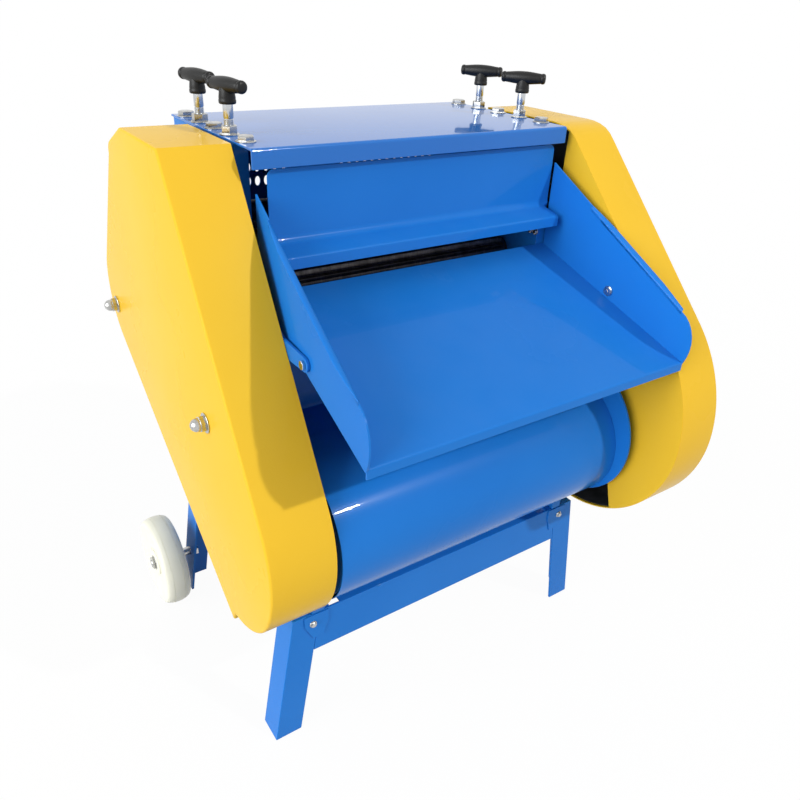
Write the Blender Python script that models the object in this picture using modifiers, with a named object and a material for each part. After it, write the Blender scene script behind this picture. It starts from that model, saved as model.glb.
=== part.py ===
"""A floor-standing cable stripping machine with a sloping feed tray, for Blender 4.5.

The rollers run across the machine, along X. The feed side faces -Y and +Z is up. The origin is on
the floor under the middle of the machine. Depths in the design are measured from the front edge
of the top plate and are moved to the middle by FRONT; drops are measured down from the top plate.
"""

import math

import bmesh
import bpy
from mathutils import Matrix, Vector

# Overall frame
TOP_HEIGHT = 0.888
TOP_WIDTH = 0.520
TOP_DEPTH = 0.282
TOP_SHEET = 0.003
TOP_LIP = 0.0245
GAP = 0.0003
ROUND_SIDES = 16

# Side plates
PLATE_THICK = 0.020
PLATE_MIDDLE = 0.247
PLATE_TOP_DROP = 0.0035
PLATE_FRONT = 0.0105
PLATE_RIM = 0.006
NECK_TOP_DROP = 0.262
NECK_LOW_DROP = 0.302
NECK_FRONT = -0.062
ARM_INNER = 0.2632
ARM_OUTER = 0.2670
ARM_REACH = -0.150
ARM_ROOT = 0.045
ARM_TOP_DROP = 0.203
ARM_LOW_DROP = 0.238
FRAME_DROP = 0.6445

# Rollers and their bearings
ROLLER_RADIUS = 0.032
ROLLER_HALF = 0.225
ROLLER_NIP = 0.006
FEED_DROP = 0.184
FRONT_ROLLER = 0.096
REAR_ROLLER = 0.1995
JOURNAL_RADIUS = 0.015
SHOULDER_RADIUS = 0.021
FEED_TEETH = 14
TOOTH_DEPTH = 0.004
BLADE_COUNT = 8
BLADE_WIDTH = 0.012
BLADE_DEPTH = 0.004
BLOCK_SIZE = 0.056
BLOCK_RISE = 0.008
BLOCK_FALL = 0.005

# Pressure screws with T handles
SCREW_RADIUS = 0.0065
SCREW_STAND = 0.037
HANDLE_LENGTH = 0.070
HANDLE_RADIUS = 0.0095
HANDLE_WAIST = 0.0075
LEFT_HANDLE_TURN = 13
RIGHT_HANDLE_TURN = 40
HANDLE_HEIGHT = 0.022
HUB_RADIUS = 0.011

# Top bolts
BOLT_DEPTHS = (0.045, 0.148, 0.255)
BOLT_RADIUS = 0.006
BOLT_HEAD_RADIUS = 0.0115
BOLT_HEAD = 0.0075
BOLT_GRIP = 0.016

# Side guards
GUARD_SHEET = 0.002
GUARD_OUTER = 0.360
LEFT_GUARD_INNER = 0.268
RIGHT_GUARD_INNER = 0.276
LEFT_TOP_FRONT = 0.042
LEFT_TOP_BACK = 0.192
LEFT_NOSE = (-0.068, 0.472)
LEFT_NOSE_RADIUS = 0.151
LEFT_TAIL = (0.288, 0.272)
LEFT_TAIL_RADIUS = 0.102
LEFT_SHOULDER = (0.262, 0.030)
RIGHT_TOP_FRONT = 0.050
RIGHT_TOP_BACK = 0.208
RIGHT_NOSE = (-0.108, 0.435)
RIGHT_NOSE_RADIUS = 0.206
RIGHT_TAIL = (0.170, 0.400)
RIGHT_TAIL_RADIUS = 0.095
RIGHT_STRIP_BACK = -0.213
STUD_RADIUS = 0.006
NUT_RADIUS = 0.0115
NUT_REACH = 0.021
FRONT_STUD = (-0.042, 0.322)
LEFT_BACK_STUD = (0.350, 0.300)
RIGHT_BACK_STUD = (0.228, 0.300)
STUD_LUG = 0.024

# Curved front cover over the motor
NOSE_CENTRE = (-0.109, 0.482)
NOSE_RADIUS = 0.109
COVER_SHEET = 0.002
COVER_TOP_DROP = 0.212
COVER_BACK = 0.012
COVER_FOOT_BACK = 0.060

# Feed tray
TRAY_SHEET = 0.0025
TRAY_BACK = 0.009
TRAY_FRONT = -0.284
TRAY_FRONT_DROP = 0.282
TRAY_BACK_HALF = 0.2545
TRAY_FRONT_HALF = 0.2700
TRAY_LIP = 0.013
TRAY_FLANGE = 0.007
TRAY_BACK_WALL_DROP = 0.078
TRAY_FRONT_WALL_DROP = 0.2125
TRAY_BOLT = (-0.136, 0.2205)
TRAY_BOLT_RADIUS = 0.0042
TRAY_CORNER = 0.020
FLANGE_BACK = -0.050

# Hinged front flap
FLAP_HALF = 0.2345
FLAP_SHEET = 0.002
FLAP_DEPTH = 0.012
FLAP_PIVOT_DROP = 0.0325
FLAP_BOTTOM_DROP = 0.127
FLAP_LEDGE = 0.039
FLAP_EDGE = 0.014
HINGE_ROD_RADIUS = 0.003
HINGE_CURL = 0.006

# Perforated rear panel
REAR_SHEET = 0.002
HOLE_LENGTH = 0.015
HOLE_WIDTH = 0.009
HOLE_PITCH = 0.0155
HOLE_COLUMNS = 28
HOLE_ROWS = 2
HOLE_ROW_PITCH = 0.022
HOLE_DROP = 0.084

# Drive
MOTOR_RADIUS = 0.070
MOTOR_HALF = 0.120
MOTOR_FOOT = 0.078
MOUNT_THICK = 0.006
MOUNT_HALF_DEPTH = 0.060
MOTOR_SHAFT_RADIUS = 0.012
BIG_PULLEY_RADIUS = 0.130
SMALL_PULLEY_RADIUS = 0.040
PULLEY_WIDTH = 0.030
GROOVE_WIDTH = 0.018
GROOVE_DEPTH = 0.007
BELT_THICK = 0.009
BELT_SIDE_GAP = 0.0008
PULLEY_X = 0.300
SPROCKET_RADIUS = 0.036
SPROCKET_WIDTH = 0.006
SPROCKET_X = 0.284
CHAIN_THICK = 0.009
CHAIN_WIDTH = 0.010

# Base frame and wheels
ANGLE_SIZE = 0.045
ANGLE_WALL = 0.004
LEG_TOP_HALF = 0.288
LEG_FOOT_HALF = 0.325
FRONT_LEG = -0.123
REAR_LEG = 0.262
REAR_FOOT_HEIGHT = 0.008
BEAM_HEIGHT = 0.077
RAIL_HEIGHT = 0.040
RAIL_LAP = 0.012
WHEEL_RADIUS = 0.085
WHEEL_WIDTH = 0.045
WHEEL_X = 0.360
WHEEL_DEPTH = 0.288
AXLE_RADIUS = 0.008
AXLE_HEAD = 0.014
GLAND_RADIUS = 0.012
GLAND_DROP = 0.560

# Derived places
FRONT_REACH = RIGHT_NOSE_RADIUS - RIGHT_NOSE[0]
BACK_REACH = LEFT_TAIL[0] + LEFT_TAIL_RADIUS
FRONT = (FRONT_REACH - BACK_REACH) / 2
HALF_WIDTH = TOP_WIDTH / 2
PLATE_INNER = PLATE_MIDDLE - PLATE_THICK / 2
PLATE_OUTER = PLATE_MIDDLE + PLATE_THICK / 2
LOW_AXIS_DROP = FEED_DROP + ROLLER_RADIUS
HIGH_AXIS_DROP = FEED_DROP - ROLLER_NIP - ROLLER_RADIUS
WINDOW_TOP_DROP = HIGH_AXIS_DROP - BLOCK_SIZE / 2 - BLOCK_RISE
WINDOW_LOW_DROP = HIGH_AXIS_DROP + BLOCK_SIZE / 2 + BLOCK_FALL
BETWEEN_PLATES = PLATE_INNER - GAP
FRAME_TOP = TOP_HEIGHT - FRAME_DROP

COLOURS = {
    "blue_paint": ((0.02, 0.17, 0.62), 0.30, 0.0),
    "yellow_paint": ((0.93, 0.62, 0.05), 0.28, 0.0),
    "steel": ((0.62, 0.62, 0.62), 0.30, 1.0),
    "dark_steel": ((0.20, 0.20, 0.21), 0.45, 1.0),
    "black_plastic": ((0.02, 0.02, 0.02), 0.40, 0.0),
    "black_rubber": ((0.03, 0.03, 0.03), 0.75, 0.0),
    "white_nylon": ((0.86, 0.85, 0.76), 0.45, 0.0),
    "grey_paint": ((0.25, 0.28, 0.30), 0.45, 0.0),
}


def clear_scene():
    """Removes the objects that a new Blender file starts with."""
    for thing in list(bpy.data.objects):
        bpy.data.objects.remove(thing, do_unlink=True)


def make_collection(name, hidden=False):
    """A collection in the scene; a hidden one holds cutters."""
    collection = bpy.data.collections.new(name)
    collection.hide_render = hidden
    bpy.context.scene.collection.children.link(collection)
    return collection


def make_material(name):
    """The Principled material of one finish."""
    colour, roughness, metallic = COLOURS[name]
    material = bpy.data.materials.new(name)
    material.use_nodes = True
    shader = material.node_tree.nodes["Principled BSDF"]
    shader.inputs["Base Color"].default_value = (*colour, 1.0)
    shader.inputs["Roughness"].default_value = roughness
    shader.inputs["Metallic"].default_value = metallic
    material.diffuse_color = (*colour, 1.0)
    return material


clear_scene()
PARTS = make_collection("cable_stripping_machine")
CUTTERS = make_collection("cutters", hidden=True)
FINISHES = {name: make_material(name) for name in COLOURS}


def place(depth, drop):
    """World Y and Z of a point given by its depth behind the plate's edge and its drop below it."""
    return FRONT + depth, TOP_HEIGHT - drop


def add_object(name, mesh, finish=None):
    """Links a mesh as a named piece, or as a cutter when it has no finish."""
    thing = bpy.data.objects.new(name, mesh)
    if finish is None:
        CUTTERS.objects.link(thing)
        thing.hide_render = True
        thing.display_type = "WIRE"
    else:
        PARTS.objects.link(thing)
        mesh.materials.clear()
        mesh.materials.append(FINISHES[finish])
    return thing


def bm_object(name, bm, finish=None):
    """Turns a bmesh into an object with clean outward faces."""
    bmesh.ops.recalc_face_normals(bm, faces=bm.faces)
    mesh = bpy.data.meshes.new(name)
    bm.to_mesh(mesh)
    bm.free()
    return add_object(name, mesh, finish)


def box_object(name, x, y, z, finish=None):
    """A box between two limits on each axis."""
    bm = bmesh.new()
    size = Vector((x[1] - x[0], y[1] - y[0], z[1] - z[0]))
    middle = Vector(((x[0] + x[1]) / 2, (y[0] + y[1]) / 2, (z[0] + z[1]) / 2))
    bmesh.ops.create_cube(bm, size=1.0, matrix=Matrix.Translation(middle) @ Matrix.Diagonal((*size, 1.0)))
    return bm_object(name, bm, finish)


def extruded_object(name, points, way, finish=None):
    """A flat face of world points, extruded along a vector."""
    bm = bmesh.new()
    face = bm.faces.new([bm.verts.new(point) for point in points])
    grown = bmesh.ops.extrude_face_region(bm, geom=[face])
    moved = [v for v in grown["geom"] if isinstance(v, bmesh.types.BMVert)]
    bmesh.ops.translate(bm, vec=way, verts=moved)
    return bm_object(name, bm, finish)


def prism_object(name, outline, x, finish=None):
    """A flat outline of world (y, z) points, extruded along X between two limits."""
    return extruded_object(name, [(x[0], y, z) for y, z in outline], (x[1] - x[0], 0, 0), finish)


def round_object(name, radius, start, end, finish=None, sides=ROUND_SIDES):
    """A cylinder between two world points."""
    start, end = Vector(start), Vector(end)
    turn = (end - start).to_track_quat("Z", "Y").to_matrix().to_4x4()
    bm = bmesh.new()
    bmesh.ops.create_cone(
        bm, cap_ends=True, segments=sides, radius1=radius, radius2=radius, depth=(end - start).length,
        matrix=Matrix.Translation((start + end) / 2) @ turn,
    )
    return bm_object(name, bm, finish)


def turned_object(name, profile, centre, finish, along="X", sides=ROUND_SIDES, closed=False):
    """A profile of (position, radius) points, from its far end back, turned about an axis."""
    mesh = bpy.data.meshes.new(name)
    edges = [(i, i + 1) for i in range(len(profile) - 1)]
    if closed:
        edges.append((len(profile) - 1, 0))
    mesh.from_pydata([(radius, 0, position) for position, radius in profile], edges, [])
    thing = add_object(name, mesh, finish)
    thing.location = centre
    if along == "X":
        thing.rotation_euler = (0, math.pi / 2, 0)
    if along == "Y":
        thing.rotation_euler = (-math.pi / 2, 0, 0)
    screw = thing.modifiers.new("Turn", "SCREW")
    screw.axis = "Z"
    screw.steps = sides
    screw.render_steps = sides
    screw.use_merge_vertices = True
    screw.merge_threshold = 1e-5
    return thing


def cut(piece, cutters, operation="DIFFERENCE"):
    """Cuts a piece by others, or joins others to it."""
    for cutter in cutters:
        modifier = piece.modifiers.new(cutter.name, "BOOLEAN")
        modifier.operation = operation
        modifier.solver = "EXACT"
        modifier.object = cutter


def join(piece, others):
    """Makes one solid of a piece and the shapes that are welded to it."""
    cut(piece, others, "UNION")


def bore_radius(shaft_radius, sides=ROUND_SIDES):
    """A many-sided bore that a shaft of this radius turns in without touching a flat."""
    return (shaft_radius + GAP) / math.cos(math.pi / sides)


def arc(centre, radius, start, end, steps):
    """Points of an arc in (depth, drop), with angles in degrees from forward, turning downwards."""
    points = []
    for step in range(steps + 1):
        angle = math.radians(start + (end - start) * step / steps)
        points.append((centre[0] - radius * math.cos(angle), centre[1] + radius * math.sin(angle)))
    return points


def offset_outline(points, distance):
    """The closed outline moved inwards by a distance, with mitred corners."""
    area = sum(a[0] * b[1] - b[0] * a[1] for a, b in zip(points, points[1:] + points[:1]))
    side = 1.0 if area > 0 else -1.0
    moved = []
    for before, here, after in zip(points[-1:] + points[:-1], points, points[1:] + points[:1]):
        first = (Vector(here) - Vector(before)).normalized()
        second = (Vector(after) - Vector(here)).normalized()
        normal_a = Vector((-first.y, first.x)) * side
        normal_b = Vector((-second.y, second.x)) * side
        mitre = (normal_a + normal_b) / (1.0 + normal_a.dot(normal_b))
        corner = Vector(here) + mitre * distance
        moved.append((corner.x, corner.y))
    return moved


def sheet_outline(path, thickness):
    """The outline of a bent sheet: an open path and the same path moved sideways by its thickness."""
    other = []
    for index, here in enumerate(path):
        before = path[max(index - 1, 0)]
        after = path[min(index + 1, len(path) - 1)]
        first = Vector(here) - Vector(before)
        second = Vector(after) - Vector(here)
        if index == 0:
            first = second
        if index == len(path) - 1:
            second = first
        first.normalize()
        second.normalize()
        normal_a = Vector((-first.y, first.x))
        normal_b = Vector((-second.y, second.x))
        mitre = (normal_a + normal_b) / (1.0 + normal_a.dot(normal_b))
        corner = Vector(here) + mitre * thickness
        other.append((corner.x, corner.y))
    return list(path) + other[::-1]


def placed(points):
    """World (y, z) points of an outline given in depths and drops."""
    return [place(depth, drop) for depth, drop in points]


def tray_drop(depth):
    """Drop of the tray floor's upper face at a depth."""
    share = (TRAY_BACK - depth) / (TRAY_BACK - TRAY_FRONT)
    return FEED_DROP + (TRAY_FRONT_DROP - FEED_DROP) * share


def leg_half(height, top=FRAME_TOP):
    """Distance of a leg's outer corner from the middle at a height."""
    return LEG_FOOT_HALF + (LEG_TOP_HALF - LEG_FOOT_HALF) * height / top


def side_plate(side, name):
    """A thick side plate with windows for the sliding blocks, bores and the guard's studs."""
    nose = arc(NOSE_CENTRE, NOSE_RADIUS + PLATE_RIM, -90, 90, 10)
    outline = placed([
        (TOP_DEPTH, PLATE_TOP_DROP), (PLATE_FRONT, PLATE_TOP_DROP), (PLATE_FRONT, NECK_TOP_DROP),
        (NECK_FRONT, NECK_LOW_DROP),
        (NECK_FRONT, nose[0][1]), *nose, (-0.090, FRAME_DROP), (TOP_DEPTH, FRAME_DROP),
    ])
    x = (side * PLATE_MIDDLE - PLATE_THICK / 2, side * PLATE_MIDDLE + PLATE_THICK / 2)
    plate = prism_object(name, outline, x, "blue_paint")
    through = (x[0] - PLATE_THICK, x[1] + PLATE_THICK)
    cutters = []
    for depth in (FRONT_ROLLER, REAR_ROLLER):
        half = BLOCK_SIZE / 2 + GAP
        y = (FRONT + depth - half, FRONT + depth + half)
        z = (TOP_HEIGHT - WINDOW_LOW_DROP, TOP_HEIGHT - WINDOW_TOP_DROP)
        cutters.append(box_object(f"{name}_window", through, y, z))
        axis_y, axis_z = place(depth, LOW_AXIS_DROP)
        cutters.append(round_object(
            f"{name}_bore", bore_radius(JOURNAL_RADIUS), (through[0], axis_y, axis_z),
            (through[1], axis_y, axis_z)))
        cutters.append(round_object(
            f"{name}_thread", bore_radius(SCREW_RADIUS), (side * PLATE_MIDDLE, axis_y, TOP_HEIGHT),
            (side * PLATE_MIDDLE, axis_y, TOP_HEIGHT - WINDOW_TOP_DROP - GAP * 10)))
    for depth in BOLT_DEPTHS:
        y = FRONT + depth
        cutters.append(round_object(
            f"{name}_tap", bore_radius(BOLT_RADIUS), (side * PLATE_MIDDLE, y, TOP_HEIGHT),
            (side * PLATE_MIDDLE, y, TOP_HEIGHT - BOLT_GRIP - GAP * 2)))
    if side > 0:
        y, z = place(*NOSE_CENTRE)
        cutters.append(round_object(
            f"{name}_shaft_way", MOTOR_SHAFT_RADIUS * 1.6, (through[0], y, z), (through[1], y, z)))
    cut(plate, cutters)
    join(plate, guard_studs(side, name) + [tray_arm(side, name)])
    return plate


def tray_arm(side, name):
    """A cranked arm welded to the side plate, which reaches forward outside the tray's wall."""
    root = side * (PLATE_OUTER - 0.001)
    inner, outer = side * ARM_INNER, side * ARM_OUTER
    crank = FRONT + PLATE_FRONT + GAP * 3
    back, reach = FRONT + ARM_ROOT, FRONT + ARM_REACH
    low = TOP_HEIGHT - ARM_LOW_DROP
    points = [(root, crank, low), (root, back, low), (outer, back, low), (outer, reach, low),
              (inner, reach, low), (inner, crank, low)]
    arm = extruded_object(f"{name}_arm", points, (0, 0, ARM_LOW_DROP - ARM_TOP_DROP))
    y, z = place(*TRAY_BOLT)
    near, far = side * (ARM_INNER - PLATE_THICK), side * (ARM_OUTER + PLATE_THICK)
    hole = round_object(
        f"{name}_arm_hole", bore_radius(TRAY_BOLT_RADIUS, 8), (near, y, z), (far, y, z), sides=8)
    cut(arm, [hole])
    return arm


def guard_studs(side, name):
    """Two long studs welded to the side plate, which carry the guard, the back one on a lug."""
    back = LEFT_BACK_STUD if side < 0 else RIGHT_BACK_STUD
    shapes = []
    start = side * (PLATE_MIDDLE + PLATE_THICK / 4)
    end = side * (GUARD_OUTER + NUT_REACH * 0.45)
    for label, (depth, drop) in (("front", FRONT_STUD), ("back", back)):
        y, z = place(depth, drop)
        shapes.append(round_object(f"{name}_{label}_stud", STUD_RADIUS, (start, y, z), (end, y, z), sides=8))
        if depth > TOP_DEPTH - STUD_LUG:
            inner_y, _ = place(TOP_DEPTH - STUD_LUG, drop)
            x = sorted((start - side * PLATE_THICK / 4, side * (PLATE_OUTER - 0.001)))
            shapes.append(box_object(
                f"{name}_lug", x, (inner_y, y + STUD_LUG / 2), (z - STUD_LUG, z + STUD_LUG)))
    return shapes


def top_plate():
    """The folded top sheet with its front lip, bolt holes and screw holes."""
    front, top = place(0, 0)
    path = [
        (front + TOP_DEPTH, top - TOP_SHEET), (front + TOP_SHEET, top - TOP_SHEET),
        (front + TOP_SHEET, top - TOP_LIP)]
    outline = sheet_outline(path, -TOP_SHEET)
    plate = prism_object("top_plate", outline, (-HALF_WIDTH, HALF_WIDTH), "blue_paint")
    cutters = []
    for side in (-1, 1):
        holes = [(depth, bore_radius(BOLT_RADIUS)) for depth in BOLT_DEPTHS]
        holes += [(depth, SCREW_RADIUS + 0.0015) for depth in (FRONT_ROLLER, REAR_ROLLER)]
        for depth, radius in holes:
            y, z = place(depth, 0)
            x = side * PLATE_MIDDLE
            cutters.append(round_object("top_hole", radius, (x, y, z - 0.02), (x, y, z + 0.02)))
    cut(plate, cutters)


def top_bolts():
    """Three hexagon bolts a side, down into the edge of each side plate."""
    for side, word in ((-1, "left"), (1, "right")):
        for number, depth in enumerate(BOLT_DEPTHS, 1):
            y, z = place(depth, 0)
            x = side * PLATE_MIDDLE
            name = f"top_bolt_{word}_{number}"
            bolt = round_object(
                name, BOLT_RADIUS, (x, y, z - BOLT_GRIP), (x, y, z + BOLT_HEAD / 2), "steel", sides=8)
            head = round_object(
                f"{name}_head", BOLT_HEAD_RADIUS, (x, y, z + GAP), (x, y, z + GAP + BOLT_HEAD), sides=6)
            join(bolt, [head])


def left_guard_outline():
    """The left guard's outline, from its top front corner round the nose and the tail."""
    return [
        (LEFT_TOP_FRONT, 0), *arc(LEFT_NOSE, LEFT_NOSE_RADIUS, -33, 84, 12), (-0.076, 0.640),
        *arc(LEFT_TAIL, LEFT_TAIL_RADIUS, 122, 205, 8), LEFT_SHOULDER, (LEFT_TOP_BACK, 0),
    ]


def right_guard_outline():
    """The right guard's outline, whose nose is larger and stands further forward."""
    return [
        (RIGHT_TOP_FRONT, 0), (0.014, 0.010), *arc(RIGHT_NOSE, RIGHT_NOSE_RADIUS, -44, 90, 14),
        *arc(RIGHT_TAIL, RIGHT_TAIL_RADIUS, 115, 185, 6), (RIGHT_TOP_BACK, 0),
    ]


def guard(side, name, outline, inner):
    """A guard: an outer face and a wall round its edge, open towards the side plate."""
    x = sorted((side * inner, side * GUARD_OUTER))
    shell = prism_object(name, placed(outline), x, "yellow_paint")
    hollow_end = side * (GUARD_OUTER - GUARD_SHEET)
    hollow = sorted((side * (inner - GUARD_SHEET * 2), hollow_end))
    cutters = [prism_object(f"{name}_hollow", placed(offset_outline(outline, GUARD_SHEET)), hollow)]
    back = LEFT_BACK_STUD if side < 0 else RIGHT_BACK_STUD
    for depth, drop in (FRONT_STUD, back):
        y, z = place(depth, drop)
        cutters.append(round_object(
            f"{name}_stud_hole", bore_radius(STUD_RADIUS, 8), (hollow_end - side * 0.02, y, z),
            (hollow_end + side * 0.02, y, z), sides=8))
    cut(shell, cutters)
    return shell


def guards():
    """Both guards, and the strip that closes the right one beside the curved cover."""
    guard(-1, "left_guard", left_guard_outline(), LEFT_GUARD_INNER)
    right = guard(1, "right_guard", right_guard_outline(), RIGHT_GUARD_INNER)
    strip = offset_outline(right_guard_outline(), GUARD_SHEET / 2)
    x = (RIGHT_GUARD_INNER, RIGHT_GUARD_INNER + GUARD_SHEET)
    plate = prism_object("right_guard_strip", placed(strip), x)
    y, z = place(RIGHT_STRIP_BACK, 0)
    cutter = box_object("strip_cut", (x[0] - 0.01, x[1] + 0.01), (y, y + 1.0), (z - 1.0, z + 0.1))
    cut(plate, [cutter])
    join(right, [plate])


def dome_nuts():
    """A washer and dome nut on each guard stud, outside the guard's face."""
    for side, word, back in ((-1, "left", LEFT_BACK_STUD), (1, "right", RIGHT_BACK_STUD)):
        for label, (depth, drop) in (("front", FRONT_STUD), ("back", back)):
            y, z = place(depth, drop)
            face = GUARD_OUTER + GAP
            bore = bore_radius(STUD_RADIUS, 8)
            depth_of_bore = GUARD_OUTER + NUT_REACH * 0.5
            profile = [
                (face + NUT_REACH, 0.0), (face + NUT_REACH * 0.85, NUT_RADIUS * 0.52),
                (face + NUT_REACH * 0.55, NUT_RADIUS * 0.82), (face + NUT_REACH * 0.5, NUT_RADIUS),
                (face + 0.002, NUT_RADIUS), (face + 0.002, NUT_RADIUS * 1.2), (face, NUT_RADIUS * 1.2),
                (face, bore), (depth_of_bore, bore), (depth_of_bore, 0.0),
            ]
            nut = turned_object(f"{word}_guard_nut_{label}", profile, (0, y, z), "steel", sides=8)
            if side < 0:
                nut.rotation_euler = (0, -math.pi / 2, 0)


def front_cover():
    """The curved sheet over the motor, with its upright back part behind the tray."""
    curve = arc(NOSE_CENTRE, NOSE_RADIUS, -90, 90, 16)
    path = placed([
        (COVER_BACK, COVER_TOP_DROP), (COVER_BACK, curve[0][1]), *curve, (COVER_FOOT_BACK, curve[-1][1])])
    outline = sheet_outline(path, COVER_SHEET)
    prism_object("front_cover", outline, (-BETWEEN_PLATES, BETWEEN_PLATES), "blue_paint")


def tray_half(y):
    """Half the tray's outer width at a world Y, wider towards the front."""
    flare = (TRAY_FRONT_HALF - TRAY_BACK_HALF) / (TRAY_BACK - TRAY_FRONT)
    return TRAY_BACK_HALF + flare * (FRONT + TRAY_BACK - y)


def tray_piece(name, outline, near, far, finish=None):
    """An outline extruded along X between two insets, each measured outwards from the tray's side."""
    bm = bmesh.new()
    face = bm.faces.new([bm.verts.new((near(y), y, z)) for y, z in outline])
    grown = bmesh.ops.extrude_face_region(bm, geom=[face])
    for vertex in grown["geom"]:
        if isinstance(vertex, bmesh.types.BMVert):
            vertex.co.x = far(vertex.co.y)
    return bm_object(name, bm, finish)


def tray():
    """The sloping tray: a floor with a front lip and two flared walls with turned-out top edges."""
    floor_path = placed([
        (TRAY_BACK, FEED_DROP), (TRAY_FRONT, TRAY_FRONT_DROP), (TRAY_FRONT, TRAY_FRONT_DROP + TRAY_LIP)])
    middle_of_wall = TRAY_SHEET / 2
    floor = tray_piece(
        "tray", sheet_outline(floor_path, TRAY_SHEET), lambda y: -tray_half(y) + middle_of_wall,
        lambda y: tray_half(y) - middle_of_wall, "blue_paint")
    lap = TRAY_SHEET / 5
    top_front = (TRAY_FRONT + TRAY_CORNER, TRAY_FRONT_WALL_DROP)
    outline = placed([
        (TRAY_BACK - lap * 2, FEED_DROP + TRAY_SHEET + lap), (TRAY_BACK - lap * 2, TRAY_BACK_WALL_DROP),
        top_front,
        (TRAY_FRONT + lap, TRAY_FRONT_WALL_DROP + TRAY_CORNER * 1.5),
        (TRAY_FRONT + lap, TRAY_FRONT_DROP + TRAY_SHEET + lap),
    ])
    fall = (TRAY_FRONT_WALL_DROP - TRAY_BACK_WALL_DROP) / (TRAY_BACK - top_front[0])
    flange_start = (FLANGE_BACK, TRAY_BACK_WALL_DROP + fall * (TRAY_BACK - FLANGE_BACK) - lap)
    flange_end = (top_front[0], top_front[1] - lap)
    flange_outline = placed([
        flange_start, flange_end, (flange_end[0], flange_end[1] + TRAY_SHEET),
        (flange_start[0], flange_start[1] + TRAY_SHEET)])
    bolt_y, bolt_z = place(*TRAY_BOLT)
    for side, word in ((-1, "left"), (1, "right")):
        wall = tray_piece(
            f"tray_wall_{word}", outline, lambda y, s=side: s * (tray_half(y) - TRAY_SHEET),
            lambda y, s=side: s * tray_half(y))
        flange = tray_piece(
            f"tray_flange_{word}", flange_outline, lambda y, s=side: s * (tray_half(y) - TRAY_SHEET / 2),
            lambda y, s=side: s * (tray_half(y) + TRAY_FLANGE))
        hole = round_object(
            f"tray_hole_{word}", bore_radius(TRAY_BOLT_RADIUS, 8), (side * PLATE_MIDDLE, bolt_y, bolt_z),
            (side * (ARM_OUTER + PLATE_THICK), bolt_y, bolt_z), sides=8)
        cut(wall, [hole])
        join(wall, [flange])
        join(floor, [wall])


def tray_bolts():
    """A bolt through each tray wall into the arm of the side plate, with a spacer collar between."""
    flare = (TRAY_FRONT_HALF - TRAY_BACK_HALF) / (TRAY_BACK - TRAY_FRONT)
    y, z = place(*TRAY_BOLT)
    wall = tray_half(y)
    shank = TRAY_BOLT_RADIUS
    for side, word in ((-1, "left"), (1, "right")):
        inside = wall - TRAY_SHEET - flare * BOLT_HEAD_RADIUS - GAP * 2
        outside = ARM_OUTER
        profile = [
            (outside + BOLT_HEAD * 0.8, 0.0), (outside + BOLT_HEAD * 0.8, BOLT_HEAD_RADIUS * 0.75),
            (outside + 0.0004, BOLT_HEAD_RADIUS * 0.75), (outside + 0.0004, shank), (inside, shank),
            (inside, BOLT_HEAD_RADIUS * 0.75), (inside - BOLT_HEAD * 0.6, BOLT_HEAD_RADIUS * 0.75),
            (inside - BOLT_HEAD * 0.6, 0.0),
        ]
        bolt = turned_object(f"tray_bolt_{word}", profile, (0, y, z), "steel", sides=8)
        if side < 0:
            bolt.rotation_euler = (0, -math.pi / 2, 0)


def flap():
    """The hinged front flap: a sheet with a forward ledge, hung by its curled top edge on a rod."""
    pivot_y, pivot_z = place(FLAP_DEPTH + HINGE_CURL - FLAP_SHEET, FLAP_PIVOT_DROP)
    x = (-FLAP_HALF, FLAP_HALF)
    path = placed([
        (FLAP_DEPTH, FLAP_PIVOT_DROP), (FLAP_DEPTH, FLAP_BOTTOM_DROP),
        (FLAP_DEPTH - FLAP_LEDGE, FLAP_BOTTOM_DROP + 0.003),
        (FLAP_DEPTH - FLAP_LEDGE, FLAP_BOTTOM_DROP + 0.003 + FLAP_EDGE),
    ])
    sheet = prism_object("front_flap", sheet_outline(path, FLAP_SHEET), x, "blue_paint")
    curl = round_object("flap_curl", HINGE_CURL, (x[0], pivot_y, pivot_z), (x[1], pivot_y, pivot_z), sides=12)
    join(sheet, [curl])
    bore = bore_radius(HINGE_ROD_RADIUS, 12)
    reach = BETWEEN_PLATES
    way = round_object("flap_bore", bore, (-reach, pivot_y, pivot_z), (reach, pivot_y, pivot_z), sides=12)
    cut(sheet, [way])
    round_object(
        "flap_hinge_rod", HINGE_ROD_RADIUS, (-reach, pivot_y, pivot_z), (reach, pivot_y, pivot_z), "steel",
        sides=12)


def rear_panel():
    """The upright back sheet with rows of round-ended air slots near its top."""
    back_y, top = place(TOP_DEPTH, TOP_SHEET + GAP)
    panel = box_object(
        "rear_panel", (-BETWEEN_PLATES, BETWEEN_PLATES), (back_y - REAR_SHEET, back_y), (FRAME_TOP, top),
        "blue_paint")
    bm = bmesh.new()
    turn = Matrix.Rotation(math.pi / 2, 4, "X")
    for row in range(HOLE_ROWS):
        for column in range(HOLE_COLUMNS):
            x = (column - (HOLE_COLUMNS - 1) / 2) * HOLE_PITCH
            _, z = place(0, HOLE_DROP + row * HOLE_ROW_PITCH)
            shape = Matrix.Diagonal((HOLE_WIDTH / 2, 1.0, HOLE_LENGTH / 2, 1.0)) @ turn
            bmesh.ops.create_cone(
                bm, cap_ends=True, segments=8, radius1=1.0, radius2=1.0, depth=REAR_SHEET * 6,
                matrix=Matrix.Translation((x, back_y - REAR_SHEET / 2, z)) @ shape)
    slots = bm_object("air_slots", bm)
    y, z = place(TOP_DEPTH, GLAND_DROP)
    hole = round_object("gland_hole", bore_radius(GLAND_RADIUS * 0.7), (0, y - 0.02, z), (0, y + 0.02, z))
    cut(panel, [slots, hole])


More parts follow.
